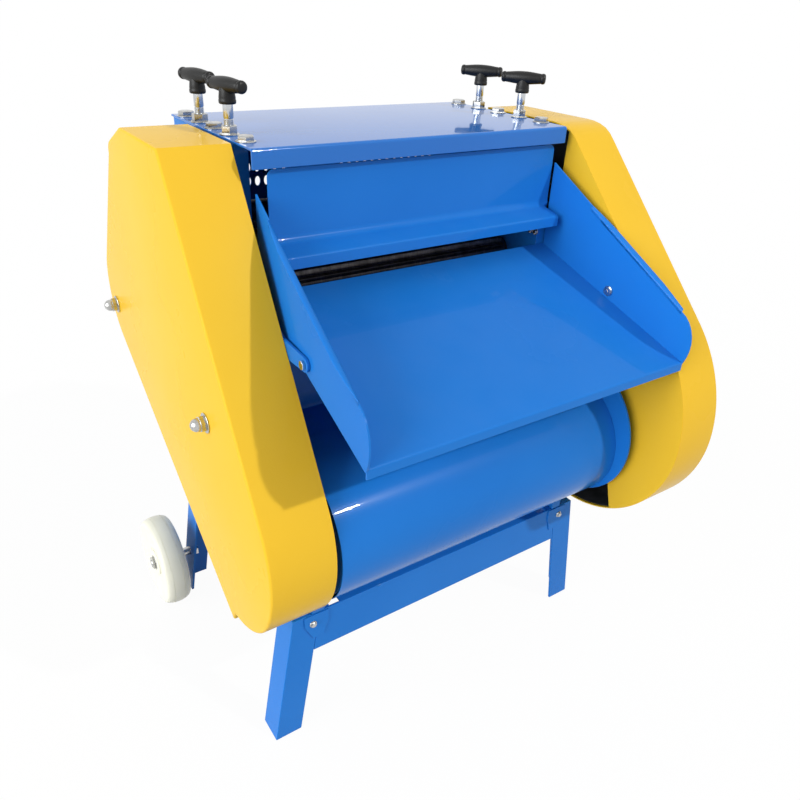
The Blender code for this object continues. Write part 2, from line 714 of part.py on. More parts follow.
def cable_gland():
    """The gland in the rear panel where a supply cable would go in."""
    y, z = place(TOP_DEPTH, GLAND_DROP)
    neck = GLAND_RADIUS * 0.7
    bore = GLAND_RADIUS * 0.4
    inner_end = -REAR_SHEET - GAP - 0.004
    profile = [
        (GAP + 0.016, bore), (GAP + 0.016, neck), (GAP + 0.008, GLAND_RADIUS), (GAP, GLAND_RADIUS),
        (GAP, neck), (inner_end, neck), (inner_end, bore),
    ]
    turned_object("cable_gland", profile, (0, y, z), "black_plastic", along="Y", closed=True)


def roller_profile(right_end, left_end, body):
    """A roller's profile from its right end to its left, with shoulders against the side plates."""
    shoulder = PLATE_INNER - GAP * 2
    return [
        (right_end, 0.0), (right_end, JOURNAL_RADIUS), (shoulder, JOURNAL_RADIUS),
        (shoulder, SHOULDER_RADIUS), (ROLLER_HALF, SHOULDER_RADIUS), *body,
        (-ROLLER_HALF, SHOULDER_RADIUS), (-shoulder, SHOULDER_RADIUS), (-shoulder, JOURNAL_RADIUS),
        (left_end, JOURNAL_RADIUS), (left_end, 0.0),
    ]


def plain_body():
    """The straight body of a feed roller, under its teeth."""
    return [(ROLLER_HALF, ROLLER_RADIUS - TOOTH_DEPTH), (-ROLLER_HALF, ROLLER_RADIUS - TOOTH_DEPTH)]


def bladed_body(at_blade, between):
    """The stepped body of a stripping roller, with a blade or a groove at each cutting place."""
    points = [(ROLLER_HALF, between)]
    pitch = 2 * ROLLER_HALF / BLADE_COUNT
    for index in range(BLADE_COUNT):
        middle = ROLLER_HALF - pitch * (index + 0.5)
        points += [
            (middle + BLADE_WIDTH / 2, between), (middle + BLADE_WIDTH / 4, at_blade),
            (middle - BLADE_WIDTH / 4, at_blade), (middle - BLADE_WIDTH / 2, between),
        ]
    points.append((-ROLLER_HALF, between))
    return points


def feed_teeth(name, y, z):
    """The long teeth of a feed roller, as one star-shaped bar along it."""
    outline = []
    for index in range(FEED_TEETH * 2):
        angle = math.pi * index / FEED_TEETH
        radius = ROLLER_RADIUS if index % 2 == 0 else ROLLER_RADIUS - TOOTH_DEPTH
        outline.append((y + radius * math.cos(angle), z + radius * math.sin(angle)))
    return prism_object(f"{name}_teeth", outline, (-ROLLER_HALF + 0.002, ROLLER_HALF - 0.002))


def rollers():
    """Two pairs of rollers: the toothed feed pair in front and the stripping pair behind it."""
    inside = PLATE_OUTER - 0.001
    right_drive = PULLEY_X + PULLEY_WIDTH / 2 + 0.006
    left_drive = -(SPROCKET_X + SPROCKET_WIDTH / 2 + 0.006)
    feed = (("lower_feed_roller", LOW_AXIS_DROP, right_drive, left_drive),
            ("upper_feed_roller", HIGH_AXIS_DROP, inside, -inside))
    for name, drop, right_end, left_end in feed:
        y, z = place(FRONT_ROLLER, drop)
        roller = turned_object(
            name, roller_profile(right_end, left_end, plain_body()), (0, y, z), "dark_steel")
        join(roller, [feed_teeth(name, y, z)])
    low_body = bladed_body(ROLLER_RADIUS, ROLLER_RADIUS - BLADE_DEPTH)
    high_body = bladed_body(ROLLER_RADIUS - BLADE_DEPTH, ROLLER_RADIUS)
    strip = (("lower_strip_roller", LOW_AXIS_DROP, inside, left_drive, low_body),
             ("upper_strip_roller", HIGH_AXIS_DROP, inside, -inside, high_body))
    for name, drop, right_end, left_end, body in strip:
        y, z = place(REAR_ROLLER, drop)
        turned_object(name, roller_profile(right_end, left_end, body), (0, y, z), "dark_steel")


def bearing_blocks():
    """The four blocks that carry the upper rollers and slide in the side plates' windows."""
    for word, depth in (("front", FRONT_ROLLER), ("rear", REAR_ROLLER)):
        y, z = place(depth, HIGH_AXIS_DROP)
        for side, hand in ((-1, "left"), (1, "right")):
            x = (side * PLATE_MIDDLE - PLATE_THICK / 2 + GAP, side * PLATE_MIDDLE + PLATE_THICK / 2 - GAP)
            half = BLOCK_SIZE / 2
            block = box_object(
                f"{word}_block_{hand}", x, (y - half, y + half), (z - half, z + half), "dark_steel")
            bore = round_object(
                f"{word}_block_{hand}_bore", bore_radius(JOURNAL_RADIUS), (x[0] - 0.01, y, z),
                (x[1] + 0.01, y, z))
            cut(block, [bore])


def pressure_screws():
    """The four pressure screws, each with a T handle, standing over the sliding blocks."""
    for word, depth in (("front", FRONT_ROLLER), ("rear", REAR_ROLLER)):
        y, block_z = place(depth, HIGH_AXIS_DROP)
        top = TOP_HEIGHT + SCREW_STAND
        for side, hand in ((-1, "left"), (1, "right")):
            x = side * PLATE_MIDDLE
            low = block_z + BLOCK_SIZE / 2 + GAP
            turned_object(
                f"{word}_screw_{hand}",
                [(top - low - GAP, 0.0), (top - low - GAP, SCREW_RADIUS), (0.0, SCREW_RADIUS), (0.0, 0.0)],
                (x, y, low), "steel", along="Z", sides=12)
            turn = LEFT_HANDLE_TURN if side < 0 else RIGHT_HANDLE_TURN
            t_handle(f"{word}_handle_{hand}", x, y, top, math.radians(turn))


def t_handle(name, x, y, base, turn):
    """A plastic T handle: a waisted bar with collared ends on an upright hub, turned from along Y."""
    hub = turned_object(
        name,
        [(HANDLE_HEIGHT, 0.0), (HANDLE_HEIGHT, HUB_RADIUS * 0.8), (HANDLE_HEIGHT * 0.4, HUB_RADIUS * 0.85),
         (HANDLE_HEIGHT * 0.25, HUB_RADIUS), (0.0, HUB_RADIUS), (0.0, 0.0)],
        (x, y, base), "black_plastic", along="Z", sides=12)
    half = HANDLE_LENGTH / 2
    bar = turned_object(
        f"{name}_bar",
        [(half, 0.0), (half, HANDLE_RADIUS * 0.9), (half * 0.82, HANDLE_RADIUS), (half * 0.78, HANDLE_WAIST),
         (half * 0.2, HANDLE_RADIUS), (-half * 0.2, HANDLE_RADIUS), (-half * 0.78, HANDLE_WAIST),
         (-half * 0.82, HANDLE_RADIUS), (-half, HANDLE_RADIUS * 0.9), (-half, 0.0)],
        (x, y, base + HANDLE_HEIGHT), None, along="Y", sides=12)
    bar.rotation_euler.z = turn
    join(hub, [bar])


def pulley_profile(radius, bore, middle):
    """A grooved pulley with a bore, as a closed profile."""
    half, groove = PULLEY_WIDTH / 2, GROOVE_WIDTH / 2
    floor = radius - GROOVE_DEPTH
    return [
        (middle + half, bore), (middle + half, radius), (middle + groove, radius), (middle + groove, floor),
        (middle - groove, floor), (middle - groove, radius), (middle - half, radius), (middle - half, bore),
    ]


def band_object(name, first, second, thickness, x, finish, steps=14):
    """A closed band round two circles, each (y, z, radius), as a loop of even thickness."""
    (y1, z1, r1), (y2, z2, r2) = first, second
    between = Vector((y2 - y1, z2 - z1))
    lean = math.acos((r1 - r2) / between.length)
    heading = math.atan2(between.y, between.x)
    inner, outer = [], []
    for y, z, radius, start, sweep in (
            (y1, z1, r1, heading + lean, 2 * math.pi - 2 * lean), (y2, z2, r2, heading - lean, 2 * lean)):
        clear = radius / math.cos(sweep / steps / 2)
        for step in range(steps + 1):
            angle = start + sweep * step / steps
            out_y, out_z = math.cos(angle), math.sin(angle)
            inner.append((y + clear * out_y, z + clear * out_z))
            outer.append((y + (clear + thickness) * out_y, z + (clear + thickness) * out_z))
    bm = bmesh.new()
    rings = [[bm.verts.new((x[0], *point)) for point in points] for points in (inner, outer)]
    count = len(inner)
    flat = [bm.faces.new((rings[0][i], rings[0][(i + 1) % count], rings[1][(i + 1) % count], rings[1][i]))
            for i in range(count)]
    grown = bmesh.ops.extrude_face_region(bm, geom=flat)
    moved = [v for v in grown["geom"] if isinstance(v, bmesh.types.BMVert)]
    bmesh.ops.translate(bm, vec=(x[1] - x[0], 0, 0), verts=moved)
    return bm_object(name, bm, finish)


def drive():
    """The motor, its belt to the lower feed roller, and the chain from there to the stripping roller."""
    motor_y, motor_z = place(*NOSE_CENTRE)
    roller_y, roller_z = place(FRONT_ROLLER, LOW_AXIS_DROP)
    rear_y, _ = place(REAR_ROLLER, LOW_AXIS_DROP)
    shaft_end = PULLEY_X + PULLEY_WIDTH / 2 + 0.004
    shaft_start = MOTOR_HALF - 0.040
    motor = turned_object(
        "motor",
        [(MOTOR_HALF, 0.0), (MOTOR_HALF, MOTOR_RADIUS * 0.8), (MOTOR_HALF * 0.85, MOTOR_RADIUS),
         (-MOTOR_HALF * 0.8, MOTOR_RADIUS), (-MOTOR_HALF, MOTOR_RADIUS * 0.9), (-MOTOR_HALF, 0.0)],
        (0, motor_y, motor_z), "grey_paint")
    foot = box_object(
        "motor_foot", (-MOTOR_HALF * 0.6, MOTOR_HALF * 0.6), (motor_y - 0.045, motor_y + 0.045),
        (motor_z - MOTOR_FOOT, motor_z - MOTOR_RADIUS * 0.6))
    join(motor, [foot])
    way = round_object(
        "motor_bore", bore_radius(MOTOR_SHAFT_RADIUS), (shaft_start - GAP, motor_y, motor_z),
        (MOTOR_HALF + 0.02, motor_y, motor_z))
    cut(motor, [way])
    box_object(
        "motor_mount", (-BETWEEN_PLATES, BETWEEN_PLATES),
        (motor_y - MOUNT_HALF_DEPTH, motor_y + MOUNT_HALF_DEPTH),
        (motor_z - MOTOR_FOOT - GAP - MOUNT_THICK, motor_z - MOTOR_FOOT - GAP), "dark_steel")
    turned_object(
        "motor_shaft", [(shaft_end, 0.0), (shaft_end, MOTOR_SHAFT_RADIUS), (shaft_start, MOTOR_SHAFT_RADIUS),
                        (shaft_start, 0.0)], (0, motor_y, motor_z), "steel")
    turned_object(
        "motor_pulley", pulley_profile(SMALL_PULLEY_RADIUS, MOTOR_SHAFT_RADIUS + GAP, PULLEY_X),
        (0, motor_y, motor_z), "dark_steel", closed=True)
    turned_object(
        "driven_pulley", pulley_profile(BIG_PULLEY_RADIUS, JOURNAL_RADIUS + GAP, PULLEY_X),
        (0, roller_y, roller_z), "dark_steel", sides=32, closed=True)
    belt_half = GROOVE_WIDTH / 2 - BELT_SIDE_GAP
    band_object(
        "drive_belt", (motor_y, motor_z, SMALL_PULLEY_RADIUS - GROOVE_DEPTH + GAP),
        (roller_y, roller_z, BIG_PULLEY_RADIUS - GROOVE_DEPTH + GAP), BELT_THICK,
        (PULLEY_X - belt_half, PULLEY_X + belt_half), "black_rubber")
    for name, y in (("front_sprocket", roller_y), ("rear_sprocket", rear_y)):
        near, far = SPROCKET_X - SPROCKET_WIDTH / 2, SPROCKET_X + SPROCKET_WIDTH / 2
        bore = JOURNAL_RADIUS + GAP
        profile = [(-near, bore), (-near, SPROCKET_RADIUS), (-far, SPROCKET_RADIUS), (-far, bore)]
        turned_object(name, profile, (0, y, roller_z), "dark_steel", closed=True)
    band_object(
        "drive_chain", (roller_y, roller_z, SPROCKET_RADIUS + GAP), (rear_y, roller_z, SPROCKET_RADIUS + GAP),
        CHAIN_THICK, (-SPROCKET_X - CHAIN_WIDTH / 2, -SPROCKET_X + CHAIN_WIDTH / 2), "dark_steel")


def leg_object(name, side, front_y, back, foot):
    """A splayed leg of angle section, cut level at both ends. The flange lies at its outer corner."""
    size, wall = ANGLE_SIZE, ANGLE_WALL
    outer = side * leg_half(foot)
    shift = side * (leg_half(FRAME_TOP) - leg_half(foot))
    inward = -side
    y0 = front_y
    corner = [(0, 0), (size, 0), (size, wall), (wall, wall), (wall, size), (0, size)]
    if back:
        corner = [(0, size), (size, size), (size, size - wall), (wall, size - wall), (wall, 0), (0, 0)]
    points = [(outer + inward * a, y0 + b, foot) for a, b in corner]
    return extruded_object(name, points, (shift, 0, FRAME_TOP - GAP - foot), "blue_paint")


def base_frame():
    """Four angle legs, the two cross beams between them and a side rail on each side."""
    front_y = FRONT + FRONT_LEG
    rear_y = FRONT + REAR_LEG
    legs = {}
    for side, hand in ((-1, "left"), (1, "right")):
        legs[f"front_{hand}"] = leg_object(f"front_leg_{hand}", side, front_y, False, 0.0)
        legs[f"rear_{hand}"] = leg_object(f"rear_leg_{hand}", side, rear_y, True, REAR_FOOT_HEIGHT)
        hole_y = FRONT + WHEEL_DEPTH
        hole = round_object(
            f"axle_hole_{hand}", bore_radius(AXLE_RADIUS), (side * 0.25, hole_y, WHEEL_RADIUS),
            (side * 0.36, hole_y, WHEEL_RADIUS))
        cut(legs[f"rear_{hand}"], [hole])
    half = LEG_TOP_HALF - ANGLE_SIZE
    low_half = leg_half(FRAME_TOP - BEAM_HEIGHT) - ANGLE_SIZE
    for name, y, direction in (("front_beam", front_y, 1), ("rear_beam", rear_y + ANGLE_SIZE, -1)):
        beam_object(name, half, low_half, y, direction)
    for side, hand in ((-1, "left"), (1, "right")):
        rail_object(side, hand, front_y, rear_y)


def beam_object(name, half, low_half, y, direction):
    """A cross beam: an upright plate between two legs, cut to their splay, with a top flange."""
    top, low = FRAME_TOP - GAP, FRAME_TOP - BEAM_HEIGHT
    points = [
        (-half + GAP, y, top), (half - GAP, y, top), (low_half - GAP, y, low), (-low_half + GAP, y, low)]
    beam = extruded_object(name, points, (0, direction * ANGLE_WALL, 0), "blue_paint")
    flange_y = sorted((y + direction * ANGLE_WALL / 2, y + direction * ANGLE_SIZE))
    inner = PLATE_INNER - 0.030
    flange = box_object(f"{name}_flange", (-inner, inner), flange_y, (top - ANGLE_WALL, top))
    join(beam, [flange])


def rail_object(side, hand, front_y, rear_y):
    """A side rail that carries the side plate, let into the angles of the front and the rear leg."""
    outer = side * (LEG_TOP_HALF - ANGLE_WALL - GAP)
    inner = side * (PLATE_INNER - RAIL_LAP)
    y = (front_y + ANGLE_WALL + GAP, rear_y + ANGLE_SIZE - ANGLE_WALL - GAP)
    z = (FRAME_TOP - GAP - RAIL_HEIGHT, FRAME_TOP - GAP)
    box_object(f"side_rail_{hand}", sorted((outer, inner)), y, z, "blue_paint")


def wheels():
    """The two rear wheels, each on a shouldered axle bolt through its leg."""
    y = FRONT + WHEEL_DEPTH
    half = WHEEL_WIDTH / 2
    bore = bore_radius(AXLE_RADIUS)
    radius = WHEEL_RADIUS
    for side, hand in ((-1, "left"), (1, "right")):
        profile = [
            (half * 0.9, bore), (half * 0.9, radius * 0.30), (half * 0.6, radius * 0.36),
            (half * 0.6, radius * 0.72), (half, radius * 0.80), (half * 0.8, radius * 0.94), (0.0, radius),
            (-half * 0.8, radius * 0.94), (-half, radius * 0.80), (-half * 0.6, radius * 0.72),
            (-half * 0.6, radius * 0.36), (-half * 0.9, radius * 0.30), (-half * 0.9, bore),
        ]
        turned_object(
            f"wheel_{hand}", profile, (side * WHEEL_X, y, radius), "white_nylon", sides=28, closed=True)
        outer = half * 0.9 + GAP
        leg_face = WHEEL_X - leg_half(WHEEL_RADIUS) + ANGLE_WALL
        lean = (LEG_FOOT_HALF - LEG_TOP_HALF) / FRAME_TOP * AXLE_HEAD
        seat = WHEEL_X - leg_half(WHEEL_RADIUS) - lean - GAP
        axle = turned_object(
            f"axle_{hand}",
            [(outer + 0.007, 0.0), (outer + 0.007, AXLE_HEAD), (outer, AXLE_HEAD), (outer, AXLE_RADIUS),
             (-half * 0.9 - GAP, AXLE_RADIUS), (-half * 0.9 - GAP, AXLE_HEAD), (-seat, AXLE_HEAD),
             (-seat, AXLE_RADIUS), (-leg_face - lean - GAP * 2, AXLE_RADIUS),
             (-leg_face - lean - GAP * 2, AXLE_HEAD), (-leg_face - lean - 0.008, AXLE_HEAD),
             (-leg_face - lean - 0.008, 0.0)],
            (side * WHEEL_X, y, radius), "steel")
        if side < 0:
            axle.rotation_euler = (0, -math.pi / 2, 0)


for plate_side, plate_name in ((-1, "left_side_plate"), (1, "right_side_plate")):
    side_plate(plate_side, plate_name)
top_plate()
top_bolts()
guards()
dome_nuts()
front_cover()
tray()
tray_bolts()
flap()
rear_panel()
cable_gland()
rollers()
bearing_blocks()
pressure_screws()
drive()
base_frame()
wheels()
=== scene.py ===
"""Looks of the wheeled cable stripping machine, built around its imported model."""
import math

import bmesh
import bpy
from mathutils import Matrix, Vector


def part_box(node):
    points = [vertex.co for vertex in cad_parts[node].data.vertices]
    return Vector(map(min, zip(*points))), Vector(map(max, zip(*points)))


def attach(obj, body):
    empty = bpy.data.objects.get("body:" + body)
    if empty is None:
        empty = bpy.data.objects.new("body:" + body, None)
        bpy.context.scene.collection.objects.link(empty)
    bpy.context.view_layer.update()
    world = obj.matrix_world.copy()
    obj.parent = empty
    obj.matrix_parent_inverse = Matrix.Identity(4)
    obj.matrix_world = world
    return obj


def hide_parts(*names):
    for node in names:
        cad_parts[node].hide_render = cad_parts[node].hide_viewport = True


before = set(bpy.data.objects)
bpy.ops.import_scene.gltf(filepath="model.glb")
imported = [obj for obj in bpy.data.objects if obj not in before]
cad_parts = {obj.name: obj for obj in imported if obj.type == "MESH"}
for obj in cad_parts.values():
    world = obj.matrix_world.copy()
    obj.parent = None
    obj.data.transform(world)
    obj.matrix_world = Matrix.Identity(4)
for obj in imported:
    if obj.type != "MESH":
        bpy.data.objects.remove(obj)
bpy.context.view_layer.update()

# Places and sizes in metres, repeated from the part's source.
TOP_HEIGHT = 0.888
FRONT = -0.038
TOP_DEPTH = 0.282
TOP_LIP = 0.0245
TOP_SHEET = 0.003
HALF_WIDTH = 0.260
PLATE_MIDDLE = 0.247
PLATE_THICK = 0.020
BETWEEN_PLATES = 0.2367
FRAME_DROP = 0.6445
FRAME_TOP = 0.2435
FEED_DROP = 0.184
ROLLER_DEPTHS = (0.096, 0.1995)
LOW_AXIS_DROP = 0.216
HIGH_AXIS_DROP = 0.146
ROLLER_RADIUS = 0.032
ROLLER_HALF = 0.225
JOURNAL_RADIUS = 0.015
SHOULDER_RADIUS = 0.021
BOLT_DEPTHS = (0.045, 0.148, 0.255)
SCREW_RADIUS = 0.0065
SCREW_TOP = 0.9247
SCREW_FOOT = 0.7703
HANDLE_HALF = 0.035
HANDLE_BASE = 0.925
HANDLE_HEIGHT = 0.022
HANDLE_TURNS = {"left": math.radians(13), "right": math.radians(40)}
GUARD_OUTER = 0.360
GUARD_SHEET = 0.002
GUARD_EDGE = 0.0035
NOSE_CENTRE = (-0.109, 0.482)
NOSE_RADIUS = 0.109
TRAY_SHEET = 0.0025
TRAY_BACK = 0.009
TRAY_FRONT = -0.284
TRAY_FRONT_DROP = 0.282
BEAM_FACE = -0.161
HINGES = ((-0.190, -0.140), (0.156, 0.215))
TRAY_BOLT = (-0.136, 0.2205)
GUARD_STUDS = {-1: ((-0.042, 0.322), (0.350, 0.300)), 1: ((-0.042, 0.322), (0.228, 0.300))}
GUARD_INNER = {-1: 0.268, 1: 0.276}
PULLEY_MIDDLE = 0.300
CHAIN_MIDDLE = 0.284
WHEEL_DEPTH = 0.288
WHEEL_RADIUS = 0.085
WHEEL_MIDDLE = 0.360
HANDS = ((-1, "left"), (1, "right"))
SIDES = 64
EDGE_STEPS = 2
PALE_DUST = (0.62, 0.62, 0.60)
GREY_DUST = (0.5, 0.5, 0.48)


def place(depth, drop):
    """World (y, z) of a depth behind the top plate's front and a drop below its top."""
    return (FRONT + depth, TOP_HEIGHT - drop)


def placed(points):
    """World (y, z) points of an outline given in depths and drops."""
    return [place(depth, drop) for depth, drop in points]


def arc(centre, radius, start, end, steps):
    """Points of an arc in (depth, drop), with angles in degrees from forward, turning downwards."""
    angles = [math.radians(start + (end - start) * step / steps) for step in range(steps + 1)]
    return [(centre[0] - radius * math.cos(a), centre[1] + radius * math.sin(a)) for a in angles]


# ---------------------------------------------------------------- finishes

def shader_group(name, inputs, outputs):
    """An empty shader node group; an input with a plain number is a float, any other a vector."""
    group = bpy.data.node_groups.new(name, "ShaderNodeTree")
    for label, value in inputs.items():
        kind = "NodeSocketFloat" if isinstance(value, float) else "NodeSocketVector"
        socket = group.interface.new_socket(label, in_out="INPUT", socket_type=kind)
        if value is not None:
            socket.default_value = value
    for label in outputs:
        group.interface.new_socket(label, in_out="OUTPUT", socket_type="NodeSocketFloat")
    entry, leave = group.nodes.new("NodeGroupInput"), group.nodes.new("NodeGroupOutput")
    return group, entry.outputs, leave.inputs


def node(tree, kind, links=None, **settings):
    """A node with its settings, and its inputs linked to sockets or set to values."""
    made = tree.nodes.new(kind)
    for key, value in settings.items():
        setattr(made, key, value)
    for key, value in (links or {}).items():
        socket = made.inputs[key]
        if isinstance(value, bpy.types.NodeSocket):
            tree.links.new(value, socket)
        else:
            socket.default_value = value
    return made


def reckon(tree, operation, first, second):
    """The result socket of a Math node."""
    return node(tree, "ShaderNodeMath", {0: first, 1: second}, operation=operation).outputs[0]


def ranged(tree, value, low=0.0, high=1.0, to_low=0.0, to_high=1.0):
    """The result socket of a Map Range node."""
    return node(tree, "ShaderNodeMapRange", {
        "Value": value, "From Min": low, "From Max": high, "To Min": to_low,
        "To Max": to_high}).outputs["Result"]


def noise(tree, where, scale, detail):
    """The value socket of a Noise Texture node."""
    return node(tree, "ShaderNodeTexNoise", {
        "Vector": where, "Scale": scale, "Detail": detail}).outputs["Fac"]


def sprayed_paint_group():
    """Sprayed gloss paint: faint orange peel, slow tone drift and fine specks."""
    group, entry, leave = shader_group("sprayed_paint", {
        "Vector": None, "Peel Scale": 420.0, "Drift Scale": 5.0, "Speck Scale": 900.0},
        ("Tone", "Rough", "Height"))
    where = entry["Vector"]
    tone = ranged(group, noise(group, where, entry["Drift Scale"], 4.0), 0.3, 0.7)
    speck = node(group, "ShaderNodeTexVoronoi", {"Vector": where, "Scale": entry["Speck Scale"]})
    speck_mask = ranged(group, speck.outputs["Distance"], 0.0, 0.12, 1.0, 0.0)
    drift_rough = reckon(group, "MULTIPLY", tone, 0.06)
    speck_rough = reckon(group, "MULTIPLY", speck_mask, 0.03)
    group.links.new(tone, leave["Tone"])
    group.links.new(reckon(group, "ADD", drift_rough, speck_rough), leave["Rough"])
    group.links.new(noise(group, where, entry["Peel Scale"], 1.5), leave["Height"])
    return group


def settled_dust_group():
    """Dust that lies where faces look up, broken by noise."""
    group, entry, leave = shader_group(
        "settled_dust", {"Vector": None, "Scale": 18.0, "Amount": 0.1}, ("Dust",))
    normal = node(group, "ShaderNodeNewGeometry").outputs["Normal"]
    up = ranged(group, node(group, "ShaderNodeSeparateXYZ", {"Vector": normal}).outputs["Z"], 0.4)
    cover = ranged(group, noise(group, entry["Vector"], entry["Scale"], 6.0), 0.35, 0.75)
    lying = reckon(group, "MULTIPLY", up, cover)
    group.links.new(reckon(group, "MULTIPLY", lying, entry["Amount"]), leave["Dust"])
    return group


def tool_marks_group():
    """Fine turned or ground marks: noise drawn out along one way."""
    group, entry, leave = shader_group(
        "tool_marks", {"Vector": None, "Stretch": (900.0, 60.0, 60.0)}, ("Tone", "Height"))
    drawn = node(group, "ShaderNodeVectorMath", {0: entry["Vector"], 1: entry["Stretch"]},
                 operation="MULTIPLY")
    marks = noise(group, drawn.outputs[0], 1.0, 3.0)
    stained = reckon(group, "MULTIPLY", marks, noise(group, entry["Vector"], 60.0, 5.0))
    group.links.new(ranged(group, stained, 0.12, 0.42), leave["Tone"])
    group.links.new(marks, leave["Height"])
    return group


def moulded_grain_group():
    """Moulded grain: small pits with slower waves under them."""
    group, entry, leave = shader_group(
        "moulded_grain", {"Vector": None, "Scale": 1400.0}, ("Tone", "Height"))
    group.links.new(noise(group, entry["Vector"], 35.0, 4.0), leave["Tone"])
    group.links.new(noise(group, entry["Vector"], entry["Scale"], 2.0), leave["Height"])
    return group


PAINT_GROUP = sprayed_paint_group()
DUST_GROUP = settled_dust_group()
MARKS_GROUP = tool_marks_group()
GRAIN_GROUP = moulded_grain_group()


def new_finish(name, constants):
    """A material with its Principled shader's plain constants, and the Object coordinates."""
    material = bpy.data.materials.new(name)
    material.use_nodes = True
    tree = material.node_tree
    shader = tree.nodes["Principled BSDF"]
    for socket, value in constants.items():
        shader.inputs[socket].default_value = value
    coordinates = node(tree, "ShaderNodeTexCoord").outputs["Object"]
    return material, tree, shader, coordinates


def use_group(tree, group, links):
    """The output sockets of a shader group placed in a material's tree."""
    return node(tree, "ShaderNodeGroup", links, node_tree=group).outputs


def colour_mix(tree, factor, first, second):
    """The Result socket of a mix of two colours, each a socket or three numbers."""
    first, second = (value if isinstance(value, bpy.types.NodeSocket) else (*value, 1.0)
                     for value in (first, second))
    mix = node(tree, "ShaderNodeMix", {"Factor": factor, 6: first, 7: second}, data_type="RGBA")
    return mix.outputs[2]


def raise_surface(tree, shader, height, strength, distance):
    """A Bump node from a height to the shader's normal."""
    bump = node(tree, "ShaderNodeBump", {"Height": height, "Strength": strength, "Distance": distance})
    tree.links.new(bump.outputs["Normal"], shader.inputs["Normal"])


def gloss_paint(name, light, deep, roughness, dust, coat, sheen_level=0.06, peel=0.10):
    """Sprayed gloss paint in two close tones, with settled dust under a thin clear skin."""
    material, tree, shader, where = new_finish(name, {
        "Coat Weight": coat, "Coat Roughness": 0.03, "Specular IOR Level": sheen_level})
    paint = use_group(tree, PAINT_GROUP, {"Vector": where})
    lying = use_group(tree, DUST_GROUP, {"Vector": where, "Amount": dust})["Dust"]
    toned = colour_mix(tree, paint["Tone"], light, deep)
    tree.links.new(colour_mix(tree, lying, toned, PALE_DUST), shader.inputs["Base Color"])
    base = reckon(tree, "ADD", paint["Rough"], roughness)
    tree.links.new(reckon(tree, "ADD", lying, base), shader.inputs["Roughness"])
    raise_surface(tree, shader, paint["Height"], peel, 0.0003)
    return material


def bare_metal(name, light, deep, roughness, spread, stretch):
    """Machined or plated metal with tool marks."""
    material, tree, shader, where = new_finish(name, {"Metallic": 1.0})
    marks = use_group(tree, MARKS_GROUP, {"Vector": where, "Stretch": stretch})
    tree.links.new(colour_mix(tree, marks["Tone"], deep, light), shader.inputs["Base Color"])
    rough = ranged(tree, marks["Tone"], to_low=roughness + spread, to_high=roughness)
    tree.links.new(rough, shader.inputs["Roughness"])
    raise_surface(tree, shader, marks["Height"], 0.12, 0.0002)
    return material


def moulded(name, light, deep, roughness, scale, dust, constants=None):
    """Moulded plastic or rubber with grain and a little dust."""
    material, tree, shader, where = new_finish(name, constants or {})
    grain = use_group(tree, GRAIN_GROUP, {"Vector": where, "Scale": scale})
    lying = use_group(tree, DUST_GROUP, {"Vector": where, "Scale": 40.0, "Amount": dust})["Dust"]
    toned = colour_mix(tree, grain["Tone"], light, deep)
    tree.links.new(colour_mix(tree, lying, toned, GREY_DUST), shader.inputs["Base Color"])
    rough = ranged(tree, grain["Tone"], to_low=roughness, to_high=roughness + 0.12)
    tree.links.new(rough, shader.inputs["Roughness"])
    raise_surface(tree, shader, grain["Height"], 0.18, 0.0002)
    return material


FINISHES = {
    "blue_paint": gloss_paint(
        "blue_gloss_paint", (0.014, 0.178, 0.590), (0.011, 0.162, 0.555), 0.22, 0.01, 0.16, 0.04),
    "blue_mirror": gloss_paint(
        "blue_mirror_paint", (0.010, 0.150, 0.520), (0.008, 0.138, 0.490), 0.10, 0.01, 0.60, 0.10, 0.03),
    "yellow_paint": gloss_paint(
        "yellow_gloss_paint", (0.800, 0.490, 0.034), (0.780, 0.470, 0.030), 0.24, 0.01, 0.10, 0.02, 0.30),
    "grey_paint": gloss_paint(
        "grey_motor_paint", (0.180, 0.190, 0.200), (0.150, 0.160, 0.170), 0.40, 0.30, 0.1),
    "steel": bare_metal(
        "zinc_plated_steel", (0.62, 0.62, 0.60), (0.40, 0.40, 0.39), 0.16, 0.16, (300.0, 300.0, 300.0)),
    "chrome": bare_metal(
        "chromed_rod", (0.66, 0.68, 0.70), (0.52, 0.54, 0.56), 0.10, 0.08, (80.0, 80.0, 900.0)),
    # Dark steel: partly its own dark colour, partly painted shade, set darker still so the rollers deep in the
    # feed slot read as shaded.
    "dark_steel": bare_metal(
        "dark_steel_with_painted_shade", (0.17, 0.16, 0.155), (0.070, 0.064, 0.060), 0.32, 0.20, (1200.0, 90.0, 90.0)),
    "black_plastic": moulded(
        "black_moulded_plastic", (0.006, 0.006, 0.006), (0.010, 0.010, 0.010), 0.34, 1600.0, 0.01,
        {"Specular IOR Level": 0.28}),
    "black_rubber": moulded(
        "black_belt_rubber", (0.018, 0.018, 0.018), (0.030, 0.030, 0.030), 0.60, 900.0, 0.10),
    "white_nylon": moulded(
        "ivory_nylon", (0.860, 0.845, 0.720), (0.810, 0.790, 0.650), 0.34, 1200.0, 0.06),
}


# ---------------------------------------------------------------- making pieces

def in_scene(name, data):
    """A new object in the scene."""
    obj = bpy.data.objects.new(name, data)
    bpy.context.scene.collection.objects.link(obj)
    return obj


def mesh_from(bm, name):
    """A mesh from a bmesh, with its faces turned outwards."""
    bmesh.ops.recalc_face_normals(bm, faces=bm.faces)
    mesh = bpy.data.meshes.new(name)
    bm.to_mesh(mesh)
    bm.free()
    return mesh


def final_mesh(obj):
    """The mesh of an object with its modifiers done; the object is then removed."""
    ready = obj.evaluated_get(bpy.context.evaluated_depsgraph_get())
    mesh = bpy.data.meshes.new_from_object(ready)
    bpy.data.objects.remove(obj)
    return mesh


